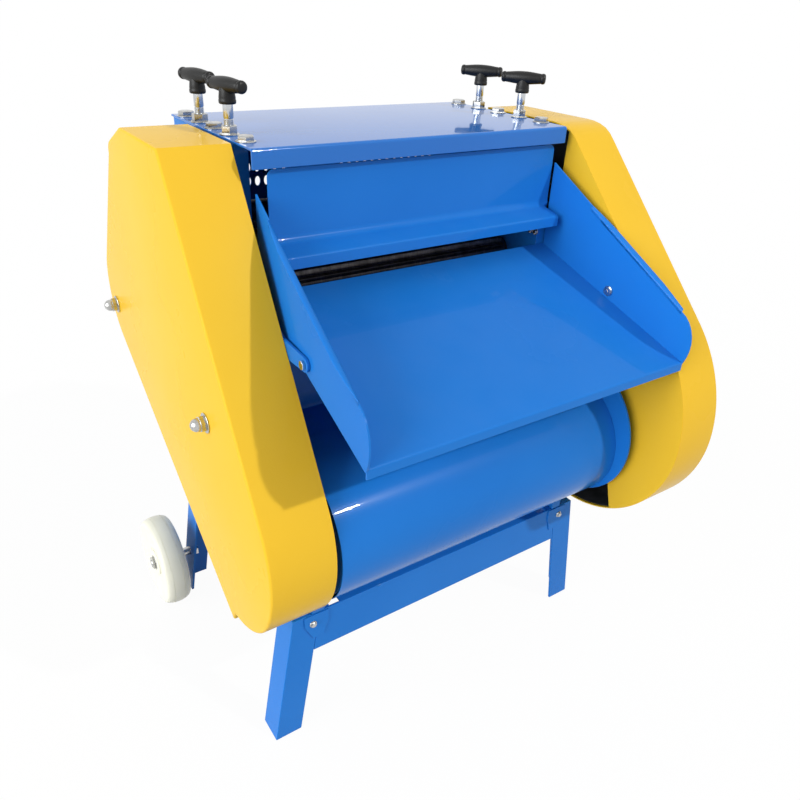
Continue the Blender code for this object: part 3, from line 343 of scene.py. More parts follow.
def add_piece(name, bm, finish, body="root", stands_for=(), bevel=0.0, sharp=32.0):
    """A shown object from a bmesh."""
    add_mesh(name, mesh_from(bm, name), finish, body, stands_for, bevel, sharp)


def add_mesh(name, mesh, finish, body="root", stands_for=(), bevel=0.0, sharp=32.0):
    """A shown object, smooth between its sharp edges, in place of the CAD nodes it stands for."""
    obj = in_scene(name, mesh)
    mesh.materials.clear()
    mesh.materials.append(FINISHES[finish])
    for polygon in mesh.polygons:
        polygon.use_smooth = True
        polygon.material_index = 0
    mesh.set_sharp_from_angle(angle=math.radians(sharp))
    if bevel:
        rounding = obj.modifiers.new("rounded_edges", "BEVEL")
        rounding.width = bevel
        rounding.segments = EDGE_STEPS
        rounding.limit_method = "ANGLE"
        rounding.angle_limit = math.radians(sharp)
        rounding.harden_normals = True
    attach(obj, body)
    if stands_for:
        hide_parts(*stands_for)


def cad_copy(name):
    """A bmesh of a CAD node's own shape, with its loose triangles merged into whole faces."""
    bm = bmesh.new()
    bm.from_mesh(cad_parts[name].data)
    bmesh.ops.remove_doubles(bm, verts=bm.verts, dist=0.00002)
    bmesh.ops.dissolve_limit(bm, angle_limit=math.radians(1.0), verts=bm.verts, edges=bm.edges)
    return bm


def softened(name, finish, width, body="root"):
    """A CAD node's shape with rounded edges, in place of the node."""
    add_piece(f"{name}_painted", cad_copy(name), finish, body, (name,), width)


def lathe(bm, profile, matrix=Matrix.Identity(4), sides=SIDES):
    """Turns a profile of (along, radius) round the local Z axis and adds it to a bmesh."""
    rings = []
    for along, radius in profile:
        if radius < 1e-6:
            rings.append([bm.verts.new(matrix @ Vector((0, 0, along)))])
            continue
        angles = [2 * math.pi * i / sides for i in range(sides)]
        rings.append([bm.verts.new(matrix @ Vector((radius * math.cos(a), radius * math.sin(a), along)))
                      for a in angles])
    closed = len(rings[0]) > 1 and len(rings[-1]) > 1
    pairs = list(zip(rings, rings[1:])) + ([(rings[-1], rings[0])] if closed else [])
    for low, high in pairs:
        for i in range(sides):
            j = (i + 1) % sides
            if len(low) == 1 and len(high) == 1:
                break
            if len(low) == 1:
                bm.faces.new((low[0], high[j], high[i]))
            elif len(high) == 1:
                bm.faces.new((low[i], low[j], high[0]))
            else:
                bm.faces.new((low[i], low[j], high[j], high[i]))


def skin(bm, rings, capped=True):
    """Faces along a row of rings of as many points, and over both ends if capped."""
    for low, high in zip(rings, rings[1:]):
        for i in range(len(low)):
            j = (i + 1) % len(low)
            bm.faces.new((low[i], low[j], high[j], high[i]))
    if capped:
        bm.faces.new(rings[0][::-1])
        bm.faces.new(rings[-1])


def prism(bm, outline, way):
    """Extrudes a flat outline of 3-D points along a vector and adds it to a bmesh."""
    skin(bm, [[bm.verts.new(Vector(p) + Vector(shift)) for p in outline]
              for shift in ((0, 0, 0), way)])


def slab(bm, outline, x, thick):
    """A flat plate with an outline in (y, z), from one X on for a thickness."""
    prism(bm, [(x, y, z) for y, z in outline], (thick, 0, 0))


def hexagon(bm, radius, low, high, matrix=Matrix.Identity(4), chamfer=0.0008):
    """A hexagon head or nut between two heights, with its corners turned down at the top."""
    corners = [(math.cos(math.pi * i / 3), math.sin(math.pi * i / 3)) for i in range(6)]
    skin(bm, [[bm.verts.new(matrix @ Vector((reach * x, reach * y, height))) for x, y in corners]
              for height, reach in ((low, radius * 0.985), (low + chamfer * 0.5, radius),
                                    (high - chamfer, radius), (high, radius - chamfer * 1.7))])


def along_x(x, y, z, side=1):
    """A matrix that lays local Z along world X, outwards for a side."""
    return Matrix.Translation((x, y, z)) @ Matrix.Rotation(math.pi / 2 * side, 4, "Y")


def rounded_path(points, radii, steps=7):
    """A path with its inner corners rounded, each by its own radius."""
    path = [Vector(points[0])]
    for before, here, after, radius in zip(points, points[1:], points[2:], radii):
        here = Vector(here)
        back, ahead = (Vector(before) - here), (Vector(after) - here)
        angle = back.angle(ahead)
        if radius <= 0 or angle > math.radians(176):
            path.append(here)
            continue
        reach = min(radius / math.tan(angle / 2), back.length * 0.48, ahead.length * 0.48)
        radius = reach * math.tan(angle / 2)
        first = here + back.normalized() * reach
        centre = here + (back.normalized() + ahead.normalized()).normalized() * (radius / math.sin(angle / 2))
        last = here + ahead.normalized() * reach
        spoke = first - centre
        sweep = spoke.angle_signed(last - centre)
        for step in range(steps + 1):
            turn = Matrix.Rotation(-sweep * step / steps, 2)
            path.append(centre + turn @ spoke)
    path.append(Vector(points[-1]))
    return path


def offset_path(path, distance, closed=False):
    """A path moved to its right-hand side by a distance, with mitred corners."""
    moved = []
    count = len(path)
    for i, here in enumerate(path):
        before = path[(i - 1) % count] if closed or i else None
        after = path[(i + 1) % count] if closed or i < count - 1 else None
        ways = []
        if before is not None:
            ways.append((Vector(here) - Vector(before)).normalized())
        if after is not None:
            ways.append((Vector(after) - Vector(here)).normalized())
        if len(ways) == 1:
            ways.append(ways[0])
        normals = [Vector((way.y, -way.x)) for way in ways]
        mitre = (normals[0] + normals[1]) / (1.0 + normals[0].dot(normals[1]))
        moved.append(Vector(here) + mitre * distance)
    return moved


def bent_sheet(bm, path, thickness, half):
    """A sheet along a path in (y, z) that reaches half(distance, y) to each side of the middle."""
    travelled = 0.0
    rows = []
    for i, (outer, inner) in enumerate(zip(path, offset_path(path, thickness))):
        if i:
            travelled += (outer - path[i - 1]).length
        reach = half(travelled, outer.x)
        rows.append([bm.verts.new((x, p.x, p.y)) for x, p in (
            (-reach, outer), (reach, outer), (reach, inner), (-reach, inner))])
    skin(bm, rows)


# ---------------------------------------------------------------- repeating by geometry nodes

def repeat_tree():
    """A tree that sets one piece on every place, turned by the place's own turn."""
    tree = bpy.data.node_groups.new("piece_on_places", "GeometryNodeTree")
    new = tree.interface.new_socket
    new("Places", in_out="INPUT", socket_type="NodeSocketGeometry")
    new("Piece", in_out="INPUT", socket_type="NodeSocketObject")
    new("Size", in_out="INPUT", socket_type="NodeSocketFloat").default_value = 1.0
    new("Finish", in_out="INPUT", socket_type="NodeSocketMaterial")
    new("Pieces", in_out="OUTPUT", socket_type="NodeSocketGeometry")
    entry, leave = tree.nodes.new("NodeGroupInput"), tree.nodes.new("NodeGroupOutput")
    piece = node(tree, "GeometryNodeObjectInfo", {"Object": entry.outputs["Piece"]})
    turn = node(tree, "GeometryNodeInputNamedAttribute", {"Name": "turn"}, data_type="FLOAT_VECTOR")
    rotation = node(tree, "FunctionNodeEulerToRotation", {"Euler": turn.outputs["Attribute"]})
    spread = node(tree, "GeometryNodeInstanceOnPoints", {
        "Points": entry.outputs["Places"], "Instance": piece.outputs["Geometry"],
        "Rotation": rotation.outputs["Rotation"], "Scale": entry.outputs["Size"]})
    real = node(tree, "GeometryNodeRealizeInstances", {"Geometry": spread.outputs["Instances"]})
    painted = node(tree, "GeometryNodeSetMaterial", {
        "Geometry": real.outputs["Geometry"], "Material": entry.outputs["Finish"]})
    tree.links.new(painted.outputs["Geometry"], leave.inputs["Pieces"])
    return tree


def perforated_tree():
    """A tree that makes an upright sheet with rows of oval air slots."""
    tree = bpy.data.node_groups.new("slotted_sheet", "GeometryNodeTree")
    new = tree.interface.new_socket
    new("Start", in_out="INPUT", socket_type="NodeSocketGeometry")
    for label in ("Width", "Height", "Thickness", "Slot Width", "Slot Height", "Field Width",
                  "Field Height", "Field Middle"):
        new(label, in_out="INPUT", socket_type="NodeSocketFloat")
    for label in ("Columns", "Rows"):
        new(label, in_out="INPUT", socket_type="NodeSocketInt")
    new("Finish", in_out="INPUT", socket_type="NodeSocketMaterial")
    new("Sheet", in_out="OUTPUT", socket_type="NodeSocketGeometry")
    entry, leave = tree.nodes.new("NodeGroupInput"), tree.nodes.new("NodeGroupOutput")
    edge = node(tree, "GeometryNodeCurvePrimitiveQuadrilateral", {
        "Width": entry.outputs["Width"], "Height": entry.outputs["Height"]})
    ring = node(tree, "GeometryNodeCurvePrimitiveCircle", {"Resolution": 24, "Radius": 0.5})
    oval_size = node(tree, "ShaderNodeCombineXYZ", {
        "X": entry.outputs["Slot Width"], "Y": entry.outputs["Slot Height"], "Z": 1.0})
    oval = node(tree, "GeometryNodeTransform", {
        "Geometry": ring.outputs["Curve"], "Scale": oval_size.outputs["Vector"]})
    field = node(tree, "GeometryNodeMeshGrid", {
        "Size X": entry.outputs["Field Width"], "Size Y": entry.outputs["Field Height"],
        "Vertices X": entry.outputs["Columns"], "Vertices Y": entry.outputs["Rows"]})
    middle = node(tree, "ShaderNodeCombineXYZ", {"Y": entry.outputs["Field Middle"]})
    raised = node(tree, "GeometryNodeTransform", {
        "Geometry": field.outputs["Mesh"], "Translation": middle.outputs["Vector"]})
    slots = node(tree, "GeometryNodeInstanceOnPoints", {
        "Points": raised.outputs["Geometry"], "Instance": oval.outputs["Geometry"]})
    real = node(tree, "GeometryNodeRealizeInstances", {"Geometry": slots.outputs["Instances"]})
    both = node(tree, "GeometryNodeJoinGeometry")
    tree.links.new(edge.outputs["Curve"], both.inputs["Geometry"])
    tree.links.new(real.outputs["Geometry"], both.inputs["Geometry"])
    face = node(tree, "GeometryNodeFillCurve", {"Curve": both.outputs["Geometry"]})
    drawn = node(tree, "GeometryNodeExtrudeMesh", {
        "Mesh": face.outputs["Mesh"], "Offset Scale": entry.outputs["Thickness"], "Individual": False})
    flipped = node(tree, "GeometryNodeFlipFaces", {"Mesh": face.outputs["Mesh"]})
    closed = node(tree, "GeometryNodeJoinGeometry")
    tree.links.new(drawn.outputs["Mesh"], closed.inputs["Geometry"])
    tree.links.new(flipped.outputs["Mesh"], closed.inputs["Geometry"])
    merged = node(tree, "GeometryNodeMergeByDistance", {
        "Geometry": closed.outputs["Geometry"], "Distance": 0.00002})
    painted = node(tree, "GeometryNodeSetMaterial", {
        "Geometry": merged.outputs["Geometry"], "Material": entry.outputs["Finish"]})
    tree.links.new(painted.outputs["Geometry"], leave.inputs["Sheet"])
    return tree


def plain_mesh(name, tree, values, start):
    """The mesh that a tree makes from a start mesh and named values."""
    carrier = in_scene(f"{name}_carrier", start)
    modifier = carrier.modifiers.new("tree", "NODES")
    modifier.node_group = tree
    for item in tree.interface.items_tree:
        if item.item_type == "SOCKET" and item.in_out == "INPUT" and item.name in values:
            modifier[item.identifier] = values[item.name]
    mesh = final_mesh(carrier)
    mesh.name = name
    return mesh


REPEAT_TREE = repeat_tree()
PERFORATED_TREE = perforated_tree()


def repeated(name, piece_bm, places, finish, body="root", stands_for=()):
    """One mesh of a piece set on many places, each (location, turn)."""
    single = in_scene(f"{name}_single", mesh_from(piece_bm, f"{name}_single"))
    start = bpy.data.meshes.new(f"{name}_places")
    start.from_pydata([tuple(location) for location, _ in places], [], [])
    turns = start.attributes.new("turn", "FLOAT_VECTOR", "POINT")
    for item, (_, turn) in zip(turns.data, places):
        item.vector = tuple(turn)
    values = {"Piece": single, "Size": 1.0, "Finish": FINISHES[finish]}
    mesh = plain_mesh(name, REPEAT_TREE, values, start)
    bpy.data.objects.remove(single)
    for attribute in [a for a in mesh.attributes if a.name == "turn"]:
        mesh.attributes.remove(attribute)
    add_mesh(name, mesh, finish, body, stands_for)


# ---------------------------------------------------------------- painted sheet work

def make_top_plate():
    """The folded top sheet, with a rounded front fold."""
    path = rounded_path(placed([(TOP_DEPTH, 0), (0, 0), (0, TOP_LIP)]), [0.0042])
    bm = bmesh.new()
    bent_sheet(bm, path, -TOP_SHEET, lambda travelled, y: HALF_WIDTH)
    add_piece("top_plate_sheet", bm, "blue_mirror", stands_for=("top_plate",), bevel=0.0009)


def make_front_cover():
    """The curved sheet over the motor with its upright back part, and its outer skin."""
    curve = arc(NOSE_CENTRE, NOSE_RADIUS - 0.0022, -90, 90, 72)
    path = [Vector(p) for p in placed([
        (0.012, 0.212), (0.012, curve[0][1] - 0.004), (0.010, curve[0][1]), *curve,
        (0.060, curve[-1][1])])]
    bm = bmesh.new()
    bent_sheet(bm, path, -0.002, lambda travelled, y: BETWEEN_PLATES)
    skin_left, skin_right, skin_back = 0.2590, 0.2530, -0.064
    wrap = placed([(skin_back, NOSE_CENTRE[1] - NOSE_RADIUS), *arc(NOSE_CENTRE, NOSE_RADIUS, -90, 90, 72)])
    cover = bmesh.new()
    bent_sheet(cover, [Vector(p) for p in wrap], -0.0018,
               lambda travelled, y: (skin_left + skin_right) / 2)
    bmesh.ops.translate(cover, verts=cover.verts, vec=((skin_right - skin_left) / 2, 0, 0))
    add_piece("front_cover_skin", cover, "blue_paint", bevel=0.0004)
    add_piece("front_cover_sheet", bm, "blue_paint", stands_for=("front_cover",), bevel=0.0005)


def tray_half(y):
    """Half the tray's outer width at a world Y, wider towards the front."""
    back_half, front_half = 0.2545, 0.2700
    return back_half + (front_half - back_half) / (TRAY_BACK - TRAY_FRONT) * (FRONT + TRAY_BACK - y)


def wall_prism(bm, outline, side, thick):
    """A wall in the flared plane of a tray side, from its outer face inwards."""
    skin(bm, [[bm.verts.new((side * (tray_half(y) - inset), y, z)) for y, z in outline]
              for inset in (0.0, thick)])


def make_tray():
    """The sloping tray: floor with a rounded lip, and walls with bowed fronts and turned-out tops."""
    lip = 0.013
    floor = rounded_path(placed([
        (TRAY_BACK, FEED_DROP), (TRAY_FRONT, TRAY_FRONT_DROP),
        (TRAY_FRONT, TRAY_FRONT_DROP + lip)]), [0.004])
    bm = bmesh.new()
    bent_sheet(bm, floor, -TRAY_SHEET, lambda travelled, y: tray_half(y) - TRAY_SHEET / 2)
    wall_back, wall_front = 0.0545, 0.2062
    top_front = TRAY_FRONT + 0.020
    fall = (wall_front - wall_back) / (TRAY_BACK - top_front)
    bend, radius, foot = 0.0045, 0.0022, -0.008
    bowed_front = [
        (-0.2712, 0.2150), (-0.2782, 0.2218), (-0.2838, 0.2305), (-0.2876, 0.2405), (-0.2895, 0.2510),
        (-0.2895, 0.2620), (-0.2876, 0.2730), (-0.2840, 0.2840), (-0.2825, 0.2860)]
    quarter = [math.pi / 2 * i / 5 for i in range(6)]
    big = radius + TRAY_SHEET
    outer = [(radius - big * math.cos(a), -big + big * math.sin(a)) for a in quarter]
    inner = [(radius - radius * math.cos(a), -big + radius * math.sin(a)) for a in quarter[::-1]]
    rim = [(0.0052, 0.0), (0.0066, -0.0005), (0.0070, -0.00125), (0.0066, -0.0020), (0.0052, -TRAY_SHEET)]
    section = [(-TRAY_SHEET, foot), *outer, *rim, *inner, (0.0, foot)]

    def wall_top(depth):
        return wall_back + fall * (TRAY_BACK - depth)

    for side, flange_back in ((-1, -0.030), (1, -0.078)):
        wall_prism(bm, placed([
            (0.008, 0.187), (0.008, wall_back), (flange_back, wall_top(flange_back)),
            (flange_back, wall_top(flange_back) + bend), (top_front, wall_front + bend),
            *bowed_front]), side, TRAY_SHEET)
        rings = []
        for depth, share in ((flange_back, 0.1), (flange_back - 0.020, 0.6), (flange_back - 0.045, 1.0),
                             (top_front + 0.045, 1.0), (top_front + 0.020, 0.6), (top_front + 0.0005, 0.1)):
            y, z = place(depth, wall_top(depth))
            rings.append([bm.verts.new((
                side * (tray_half(y) + (across * share if across > 0 else across)), y, z + up))
                for across, up in section])
        skin(bm, rings)
    add_piece("tray_sheet", bm, "blue_paint", stands_for=("tray",), bevel=0.0005, sharp=40)


def make_flap():
    """The hinged front flap with rounded top corners, a forward ledge and its hinge knuckles."""
    depth, pivot, top, bottom, ledge, edge = 0.012, 0.0325, 0.0272, 0.127, 0.039, 0.014
    corner, reach = 0.010, 0.2345
    drops = [top + corner * (1 - math.cos(math.pi / 2 * i / 6)) for i in range(7)]
    straight = placed([(depth, drop) for drop in drops])
    rest = rounded_path(placed([
        (depth, drops[-1]), (depth, bottom - 0.006), (depth - ledge, bottom + 0.003),
        (depth - ledge, bottom + 0.003 + edge)]), [0.014, 0.0016])

    def half(travelled, y):
        if travelled >= corner:
            return reach
        return reach - corner + math.sqrt(max(corner ** 2 - (corner - travelled) ** 2, 0.0)) + 0.0001

    bm = bmesh.new()
    bent_sheet(bm, [Vector(p) for p in straight] + rest[1:], 0.002, half)
    wider_panel, wider_ledge, narrower_left = 0.0145, 0.0049, 0.0023
    for vert in bm.verts:
        wider = wider_panel if vert.co.y > FRONT + 0.008 else wider_ledge
        vert.co.x += wider if vert.co.x > 0 else -narrower_left
    add_piece("front_flap_sheet", bm, "blue_paint", "flap", ("front_flap",), bevel=0.0005)
    knuckles, pins = bmesh.new(), bmesh.new()
    y, z = place(depth + 0.004, pivot)
    axis = along_x(0, y, z)
    under_top = TOP_HEIGHT - TOP_SHEET - 0.0002
    bracket = [(y - 0.0022, z - 0.0035), (y + 0.0150, z - 0.0035), (y + 0.0150, under_top),
               (y + 0.0090, under_top), (y + 0.0090, z + 0.0022), (y - 0.0022, z + 0.0022)]
    for start, end in HINGES:
        for i in range(3):
            low = start + (end - start) * (i + 0.04) / 3
            high = start + (end - start) * (i + 0.96) / 3
            lathe(knuckles, [(low, 0.0033), (low, 0.0052), (low + 0.0006, 0.0058),
                             (high - 0.0006, 0.0058), (high, 0.0052), (high, 0.0033)], axis, 24)
        leaf = [(x, *place(depth - 0.0010, drop)) for x, drop in (
            (start, 0.0235), (end, 0.0235), (end, 0.0290), (start, 0.0290))]
        prism(knuckles, leaf, (0, 0.0010, 0))
        low, high = start - 0.004, end + 0.004
        lathe(pins, [(low, 0.0), (low, 0.0021), (low + 0.0005, 0.0025), (high - 0.0005, 0.0025),
                     (high, 0.0021), (high, 0.0)], axis, 24)
        for x in (low, high):
            slab(pins, bracket, x - 0.001, 0.002)
    add_piece("flap_hinge_knuckles", knuckles, "blue_paint", "flap", bevel=0.0003)
    add_piece("flap_hinge_pins", pins, "steel", stands_for=("flap_hinge_rod",))


def left_guard_outline():
    """The left guard's outline, from its top front corner round the nose and the tail."""
    corner = rounded_path([(0.262, 0.060), (0.262, 0.030), (0.192, 0.0), (0.160, 0.0)], [0.020, 0.012])
    return [(0.042, 0), *arc((-0.068, 0.472), 0.151, -33, 84, 48), (-0.076, 0.640),
            *arc((0.288, 0.272), 0.102, 122, 205, 32), *[tuple(p) for p in corner[1:-1]]]


def right_guard_outline():
    """The right guard's outline, whose nose is larger and stands further forward."""
    return [(0.050, 0), (0.036, 0.0006), (0.022, 0.0030), (0.009, 0.0075), (-0.002, 0.0145),
            (-0.012, 0.0240), *arc((-0.066, 0.426), 0.245, -46, 0, 30),
            *arc((-0.111, 0.426), 0.200, 2, 90, 40),
            *arc((0.170, 0.400), 0.095, 115, 185, 28), (0.208, 0)]


def guard_rim(bm, points, inward):
    """The right guard's inner rim: a strip along its front that meets the tray's side."""
    low_cut, high_cut = FRONT - 0.2134, FRONT + 0.012
    middle_z = place(0, 0.426)[1]
    front = [p for p in offset_path(points, 0.0003 * inward, closed=True)
             if p.x <= (low_cut if p.y < middle_z else high_cut)]
    front.sort(key=lambda p: p.y)
    inside = placed([(0.012, 0.1200), (-0.085, 0.2300), (-0.165, 0.330), (-0.165, 0.505), (-0.2014, 0.5535)])
    slab(bm, [(low_cut, front[0].y), *front, *inside], GUARD_INNER[1] - 0.0003, 0.002)


def guard_painted_shade(points, inward):
    """A thin black sheet inside the right guard's wall and face: painted shade for the guard's dark open inside.
    """
    near, far, face = 0.2805, 0.3558, 0.3550
    outer_line, inner_line = (offset_path(points, inset * inward, closed=True) for inset in (0.0026, 0.0034))
    bm = bmesh.new()
    loops = [[bm.verts.new((x, p.x, p.y)) for p in line]
             for x, line in ((near, outer_line), (far, outer_line), (far, inner_line), (near, inner_line))]
    skin(bm, loops + loops[:1], capped=False)
    slab(bm, inner_line, face, far - face)
    return bm


def guard_shell(side, name, outline, stands_for):
    """A pressed guard: a face with a rounded edge and a wall round it, open to the side plate."""
    points = [Vector(p) for p in placed(outline)]
    area = sum(a.x * b.y - b.x * a.y for a, b in zip(points, points[1:] + points[:1]))
    inward = -1.0 if area > 0 else 1.0
    inner, edge_start = GUARD_INNER[side], GUARD_OUTER - GUARD_EDGE
    turned = [(edge_start + GUARD_EDGE * math.sin(a), GUARD_EDGE * (1 - math.cos(a)))
              for a in (math.pi / 2 * step / 6 for step in range(1, 7))]
    bm = bmesh.new()

    def ring(x, inset):
        flat = offset_path(points, inset * inward, closed=True) if inset else points
        return [bm.verts.new((side * x, p.x, p.y)) for p in flat]

    outside = [ring(x, inset) for x, inset in [(inner, 0.0), (edge_start, 0.0), *turned]]
    inside = [ring(x, inset) for x, inset in (
        (GUARD_OUTER - GUARD_SHEET, GUARD_EDGE), (edge_start, GUARD_SHEET), (inner, GUARD_SHEET))]
    skin(bm, outside, capped=False)
    bm.faces.new(outside[-1])
    bm.faces.new(inside[0])
    skin(bm, inside, capped=False)
    skin(bm, [inside[-1], outside[0]], capped=False)
    if side > 0:
        guard_rim(bm, points, inward)
        # A black sheet inside the right guard: painted shade, not a real lining.
        add_piece(f"{name}_lining", guard_painted_shade(points, inward), "black_rubber", sharp=38)
    add_piece(name, bm, "yellow_paint", stands_for=stands_for, sharp=38)


def make_side_plate(side, name):
    """A thick side plate with windows and bores, its nose rim finely rounded."""
    nose = arc(NOSE_CENTRE, NOSE_RADIUS - 0.0045, -90, 90, 64)
    top_edge = [(0.062, 0.0035), (0.062, 0.190)] if side < 0 else [
        (0.0260, 0.0035), (0.0260, 0.045), (0.0165, 0.055), (0.0165, 0.150)]
    lower_front = -0.152 if side < 0 else -0.124
    outline = placed([
        (TOP_DEPTH, 0.0035), *top_edge, (0.0105, top_edge[-1][1] + 0.010), (0.0105, 0.262),
        (-0.062, 0.302), (-0.062, nose[0][1]),
        *[point for point in nose if point[0] < lower_front or point[1] < NOSE_CENTRE[1]],
        (-0.124, FRAME_DROP), (TOP_DEPTH, FRAME_DROP)])
    low_x = side * PLATE_MIDDLE - PLATE_THICK / 2
    bm = bmesh.new()
    slab(bm, outline, low_x, PLATE_THICK)
    cutters = bmesh.new()
    past = 0.02
    window_half, window_down, window_up = 0.0283, 0.033, 0.036

    def bore(y, z, radius):
        lathe(cutters, [(-0.03, 0.0), (-0.03, radius), (0.03, radius), (0.03, 0.0)],
              along_x(side * PLATE_MIDDLE, y, z), 32)

    for depth in ROLLER_DEPTHS:
        y, z = place(depth, HIGH_AXIS_DROP)
        window = [(y - window_half, z - window_down), (y + window_half, z - window_down),
                  (y + window_half, z + window_up), (y - window_half, z + window_up)]
        slab(cutters, window, low_x - past, PLATE_THICK + 2 * past)
        bore(*place(depth, LOW_AXIS_DROP), 0.0156)
    if side > 0:
        bore(*place(*NOSE_CENTRE), 0.0192)
    solid = in_scene(f"{name}_solid", mesh_from(bm, name))
    tool = in_scene(f"{name}_tool", mesh_from(cutters, f"{name}_cutters"))
    difference = solid.modifiers.new("cut", "BOOLEAN")
    difference.object = tool
    difference.operation = "DIFFERENCE"
    difference.solver = "EXACT"
    cut_mesh = final_mesh(solid)
    bpy.data.objects.remove(tool)
    add_mesh(f"{name}_plate", cut_mesh, "blue_paint", stands_for=(name,), bevel=0.0012)
    make_fittings(side, name)


def make_fittings(side, name):
    """What sits on a side plate: guard studs, the tray's arm, and on the right the nose's ring."""
    bm = bmesh.new()
    if side > 0:
        ring = arc((-0.117, 0.460), 0.1236, -90, 90, 64) + arc(NOSE_CENTRE, 0.100, 90, -90, 64)
        slab(bm, placed(ring), 0.2534, 0.0035)
    for depth, drop in GUARD_STUDS[side]:
        y, z = place(depth, drop)
        start, end = PLATE_MIDDLE - 0.002, GUARD_OUTER + 0.008
        turn = along_x(0, y, z, side)
        lathe(bm, [(start, 0.0), (start, 0.006), (end, 0.006), (end, 0.0)], turn, 32)
        lathe(bm, [(0.2572, 0.0058), (0.2572, 0.0105), (0.2585, 0.0088), (0.2602, 0.0062)], turn, 32)
        if depth > TOP_DEPTH:
            inner_y, half = FRONT + TOP_DEPTH - 0.024, 0.024
            lug = [(inner_y, z - half), (y + 0.012, z - half), (y + 0.012, z + half), (inner_y, z + half)]
            slab(bm, lug, side * 0.2465, side * 0.0095)
    front_y, back_y, low = FRONT + 0.0114, FRONT + 0.045, TOP_HEIGHT - 0.238
    arm = [(0.2560, front_y), (0.2560, back_y), (0.2670, back_y), (0.2670, front_y)]
    prism(bm, [(side * x, y, low) for x, y in arm], (0, 0, 0.035))
    (bolt_y, bolt_z), radius = place(*TRAY_BOLT), 0.0095
    tongue = [(front_y + 0.002, bolt_z - 0.0165), (front_y + 0.002, bolt_z + 0.0165)]
    tongue += [(bolt_y - radius * math.sin(a), bolt_z + radius * math.cos(a))
               for a in (math.pi * i / 14 for i in range(15))]
    slab(bm, tongue, side * 0.2632, side * 0.0038)
    add_piece(f"{name}_fittings", bm, "blue_paint", bevel=0.0005)


def make_rear_panel():
    """The upright back sheet with its oval air slots."""
    low, high = FRAME_TOP, TOP_HEIGHT - TOP_SHEET - 0.0003
    middle = (low + high) / 2
    slots_middle = TOP_HEIGHT - 0.084 - 0.011
    start = bpy.data.meshes.new("rear_panel_start")
    mesh = plain_mesh("rear_panel_sheet", PERFORATED_TREE, {
        "Width": 2 * BETWEEN_PLATES, "Height": high - low, "Thickness": 0.002, "Slot Width": 0.009,
        "Slot Height": 0.015, "Field Width": 27 * 0.0155, "Field Height": 0.022,
        "Field Middle": slots_middle - middle, "Columns": 28, "Rows": 2, "Finish": FINISHES["blue_paint"]}, start)
    mesh.transform(Matrix.Translation((0, FRONT + TOP_DEPTH, middle)) @ Matrix.Rotation(math.pi / 2, 4, "X"))
    add_mesh("rear_panel_sheet", mesh, "blue_paint", stands_for=("rear_panel",))
    gland = bmesh.new()
    y, z = place(TOP_DEPTH, 0.560)
    turn = Matrix.Translation((0, y, z)) @ Matrix.Rotation(-math.pi / 2, 4, "X")
    lathe(gland, [(0.0003, 0.0048), (0.0003, 0.012), (0.0060, 0.012), (0.0068, 0.0112), (0.0090, 0.0108),
                  (0.0140, 0.0092), (0.0155, 0.0082), (0.0163, 0.0068), (0.0163, 0.0048)], turn, 48)
    lathe(gland, [(-0.0062, 0.0048), (-0.0062, 0.0084), (0.0004, 0.0084), (0.0004, 0.0048)], turn, 48)
    add_piece("cable_gland_moulding", gland, "black_plastic", stands_for=("cable_gland",))


def make_base():
    """Legs, beams, rails and the motor's plate, with rounded edges."""
    for name in ("front_leg_left", "front_leg_right", "rear_leg_left", "rear_leg_right",
                 "side_rail_left", "side_rail_right", "front_beam", "rear_beam"):
        softened(name, "blue_paint", 0.0011)
    softened("motor_mount", "dark_steel", 0.0008)


def make_leg_brackets():
    """The small plates that tie the front beam to its legs, each with a screw."""
    brackets, screws = bmesh.new(), bmesh.new()
    screw_x, screw_drop, thick = 0.2560, 0.0180, 0.0022
    outline = [(0.2290, 0.001), (0.2700, 0.001), (0.2700, 0.020), (0.2560, 0.048), (0.2380, 0.048),
               (0.2290, 0.020)]
    for side, _ in HANDS:
        prism(brackets, [(side * x, BEAM_FACE - 0.0002, FRAME_TOP - drop) for x, drop in outline],
              (0, -thick, 0))
        turn = Matrix.Translation((side * screw_x, BEAM_FACE - 0.0002 - thick, FRAME_TOP - screw_drop))
        turn = turn @ Matrix.Rotation(math.pi / 2, 4, "X")
        lathe(screws, [(-0.0005, 0.0), (-0.0005, 0.0058), (0.0006, 0.0060), (0.0012, 0.0056),
                       (0.0012, 0.0)], turn, 32)
        hexagon(screws, 0.0044, 0.0012, 0.0042, turn, 0.0005)
    add_piece("leg_top_brackets", brackets, "blue_paint", bevel=0.0005)
    add_piece("leg_top_screws", screws, "steel")


def make_bearing_bolts():
    """Two small bolts beside the feed opening."""
    bm = bmesh.new()
    for y in (-0.0245, -0.0135):
        turn = along_x(0.2369, y, 0.7236, -1)
        lathe(bm, [(0.0, 0.0), (0.0, 0.0052), (0.0010, 0.0050), (0.0010, 0.0)], turn, 24)
        hexagon(bm, 0.0040, 0.0010, 0.0042, turn, 0.0004)
    add_piece("bearing_cap_bolts", bm, "steel")


# ---------------------------------------------------------------- fasteners, screws and handles

def make_top_bolts():
    """The six hexagon bolts of the top plate, each with its washer."""
    bolt = bmesh.new()
    lathe(bolt, [(0.0, 0.0), (0.0, 0.0124), (0.0004, 0.0128), (0.0012, 0.0128), (0.0016, 0.0124),
                 (0.0016, 0.0)], sides=40)
    hexagon(bolt, 0.0110, 0.0016, 0.0076)
    places, names = [], []
    for side, hand in HANDS:
        for number, depth in enumerate(BOLT_DEPTHS, 1):
            places.append(((side * PLATE_MIDDLE, *place(depth, 0)), (0, 0, 0.35 * number + side * 0.2)))
            names.append(f"top_bolt_{hand}_{number}")
    repeated("top_bolts", bolt, places, "steel", stands_for=names)


